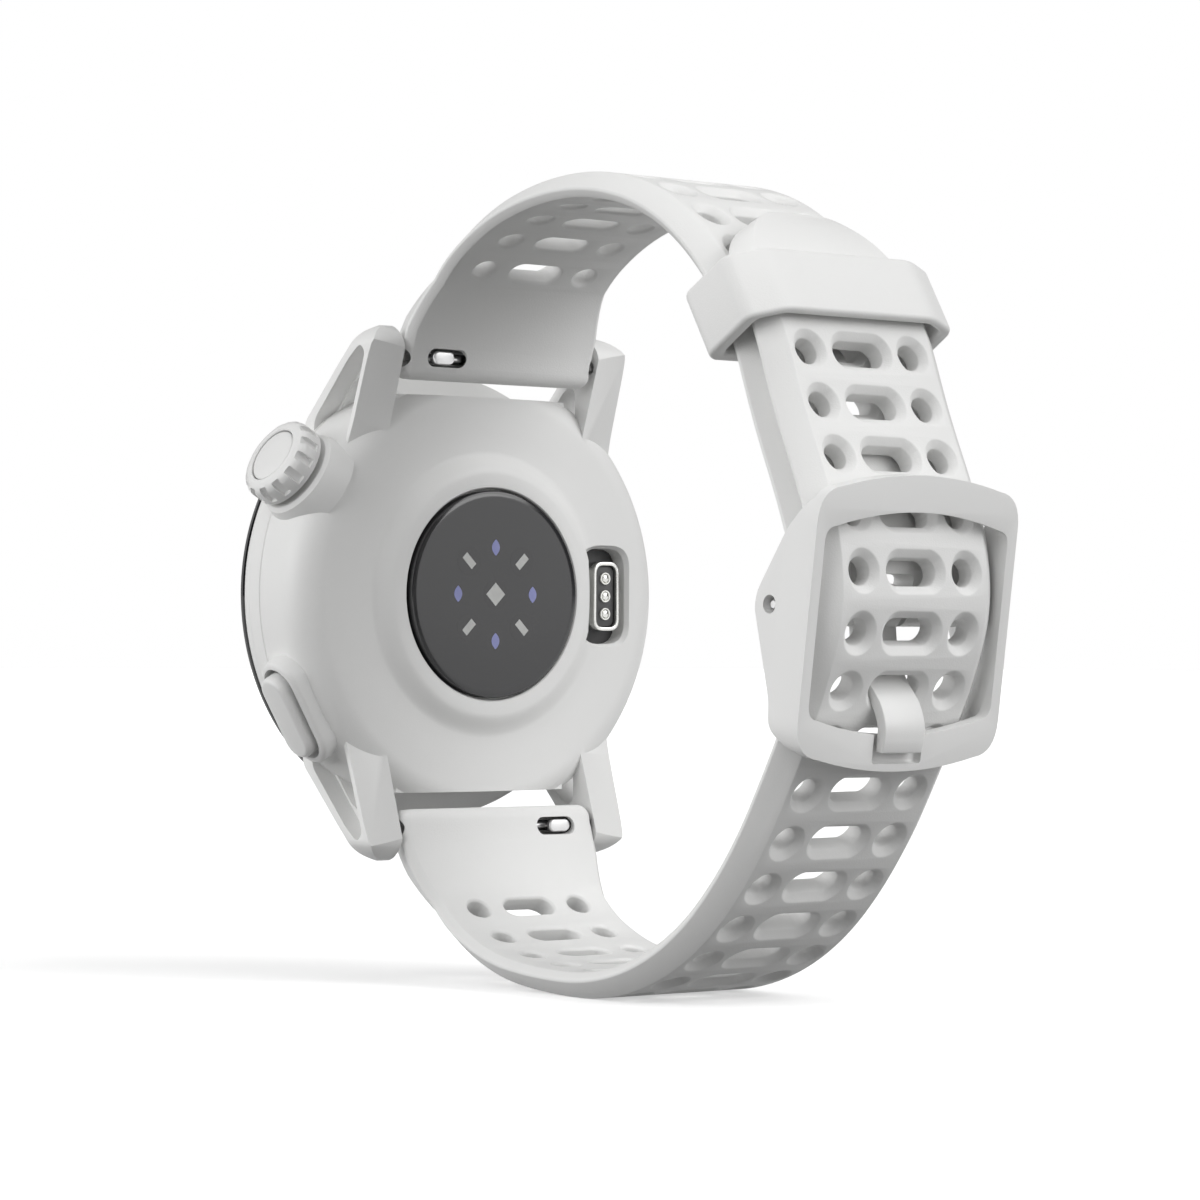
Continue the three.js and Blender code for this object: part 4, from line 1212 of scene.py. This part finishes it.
@dataclass
class Crown:
    """The turned and notched knob with its inset cap."""

    radius: float = 3.9
    cap: float = 2.5
    inner: float = 22.1
    outer: float = 24.6
    notches: int = 14

    def build(self) -> None:
        """Makes and dresses the knob and the cap."""
        place = side_place(CROWN_ANGLE, SIDE_Y)
        r, a, b = self.radius, self.inner, self.outer
        knob = turned([(1.05, a), (r - 0.3, a), (r - 0.08, a + 0.1), (r, a + 0.3), (r, b - 0.9),
                       (r - 0.07, b - 0.6), (r - 0.3, b - 0.28), (r - 0.7, b - 0.05), (r - 0.9, b),
                       (self.cap + 0.22, b), (self.cap + 0.12, b - 0.1), (self.cap + 0.12, b - 0.8),
                       (1.05, b - 0.8)], Axis.Z, 112, hollow=True)
        notch = box((r - 0.4, -0.42, b - 1.95), (r + 0.7, 0.42, b + 0.3))
        softened(notch, 0.12, 2, 50)
        for i in range(self.notches):
            turn = Matrix.Rotation(2 * math.pi * (i + 0.5) / self.notches, 4, "Z")
            combine(knob, copied(notch, turn), Join.CUT)
        bpy.data.objects.remove(notch)
        settle(placed(knob, place), "crown_knob_skin", "crown", TRIM_RESIN, ["crown_knob"])
        cap = turned([(self.cap, b - 0.65), (self.cap, b - 0.22), (self.cap - 0.08, b - 0.12),
                      (self.cap - 0.25, b - 0.08), (1.2, b - 0.05)], Axis.Z, 72)
        settle(placed(cap, place), "crown_cap_skin", "crown", TRIM_RESIN, ["crown_cap"])


@dataclass
class BackButton:
    """The obround push button."""

    half_length: float = 2.45
    radius: float = 1.65
    depth: float = 1.7
    outer: float = 22.9

    def build(self) -> None:
        """Makes and dresses the button."""
        cap = prism(obround(self.half_length, self.radius), self.outer - self.depth, self.outer, Axis.Z)
        softened(cap, 0.42, 5, 60)
        placed(cap, side_place(BUTTON_ANGLE, SIDE_Y))
        settle(cap, "back_button_skin", "back_button_body", TRIM_RESIN, ["back_button"])


# ---------------------------------------------------------------- studio

@dataclass
class Studio:
    """Camera, pale floor and soft lights."""

    lens_mm: float = 118.4
    eye: tuple[float, float, float] = (219.7, 287.8, -4.85)
    right: tuple[float, float, float] = (-0.778498, 0.627627, 0.005030)
    up: tuple[float, float, float] = (0.011505, 0.006257, 0.999914)
    back: tuple[float, float, float] = (0.627541, 0.778489, -0.012092)
    board_size_m: float = 8.0
    board_gap_m: float = 0.00002
    fill: float = 0.15
    bank_spread: float = 50.0
    banks: tuple[tuple[str, float, tuple[float, float, float]], ...] = (
        ("overhead_bank", 0.45, (0.0, 0.0, 1.0)),
        ("high_right_bank", 1.75, (-0.44, 0.66, 0.61)),
        ("low_left_bank", 1.45, (0.974, -0.212, 0.079)),
        ("front_left_bank", 1.0, (0.862, 0.192, 0.469)),
        ("low_right_bank", 0.8, (-0.413, 0.906, 0.088)),
        ("rim_bank", 0.6, (0.6, -0.76, 0.25)),
    )

    def build(self) -> None:
        """Sets the whole studio."""
        self.camera()
        self.floor()
        self.lights()

    def camera(self) -> None:
        """Places the camera."""
        data = bpy.data.cameras.new("camera")
        data.lens = self.lens_mm
        data.sensor_width = 36.0
        data.clip_start = 0.01
        obj = bpy.data.objects.new("camera", data)
        bpy.context.scene.collection.objects.link(obj)
        turn = Matrix((self.right, self.up, self.back)).transposed().to_4x4()
        obj.matrix_world = Matrix.Translation(ORIGIN + Vector(self.eye) * MM) @ turn
        bpy.context.scene.camera = obj

    def floor(self) -> None:
        """Makes the pale board that the watch stands on."""
        bpy.ops.object.select_all(action="DESELECT")
        bpy.ops.mesh.primitive_plane_add(size=self.board_size_m)
        board = bpy.context.object
        edit(board)
        bpy.ops.mesh.subdivide(number_cuts=7)
        leave()
        board.name = "studio_board"
        board.data.materials.append(STUDIO_FLOOR.build())
        placed(board, Matrix.Translation((0, 0, -self.board_gap_m)))
        board.visible_diffuse = False

    def lights(self) -> None:
        """Adds the soft lights and the pale surroundings."""
        world = bpy.data.worlds.new("studio")
        bpy.context.scene.world = world
        world.use_nodes = True
        tree = world.node_tree
        tree.nodes.clear()
        white = add_node(tree, "ShaderNodeBackground", {"Color": (1, 1, 1, 1), "Strength": 1.0})
        fill = add_node(tree, "ShaderNodeBackground", {"Color": (1, 1, 1, 1), "Strength": self.fill})
        path = add_node(tree, "ShaderNodeLightPath")
        mix = add_node(tree, "ShaderNodeMixShader", None, {
            0: path.outputs["Is Camera Ray"], 1: fill.outputs["Background"], 2: white.outputs["Background"]})
        add_node(tree, "ShaderNodeOutputWorld", None, {"Surface": mix.outputs["Shader"]})
        for name, strength, direction in self.banks:
            data = bpy.data.lights.new(name, "SUN")
            data.energy = strength
            data.angle = math.radians(self.bank_spread)
            obj = bpy.data.objects.new(name, data)
            bpy.context.scene.collection.objects.link(obj)
            obj.matrix_world = Vector(direction).to_track_quat("Z", "Y").to_matrix().to_4x4()
        bpy.context.scene.view_settings.view_transform = "Standard"


def dress_cad_nodes() -> None:
    """Gives every CAD node the finish of its material slot."""
    slots = {part["node"]: part["material_slot"] for part in frame["record"]["subparts"]}
    for name, obj in frame["nodes"].items():
        finish = CAD_FINISHES[slots[name]]
        for slot in obj.material_slots:
            slot.material = finish.build()


def main() -> None:
    """Builds the studio and every sub-assembly in order."""
    logging.basicConfig(level=logging.INFO, format="%(name)s: %(message)s")
    Studio().build()
    dress_cad_nodes()
    for part in (StrapPair(), Keeper(), Buckle(), Case(), FrontStack(), Sensor(), ChargePort(), Crown(),
                 BackButton()):
        LOG.info("building %s", type(part).__name__)
        part.build()


if __name__ == "__main__":
    main()
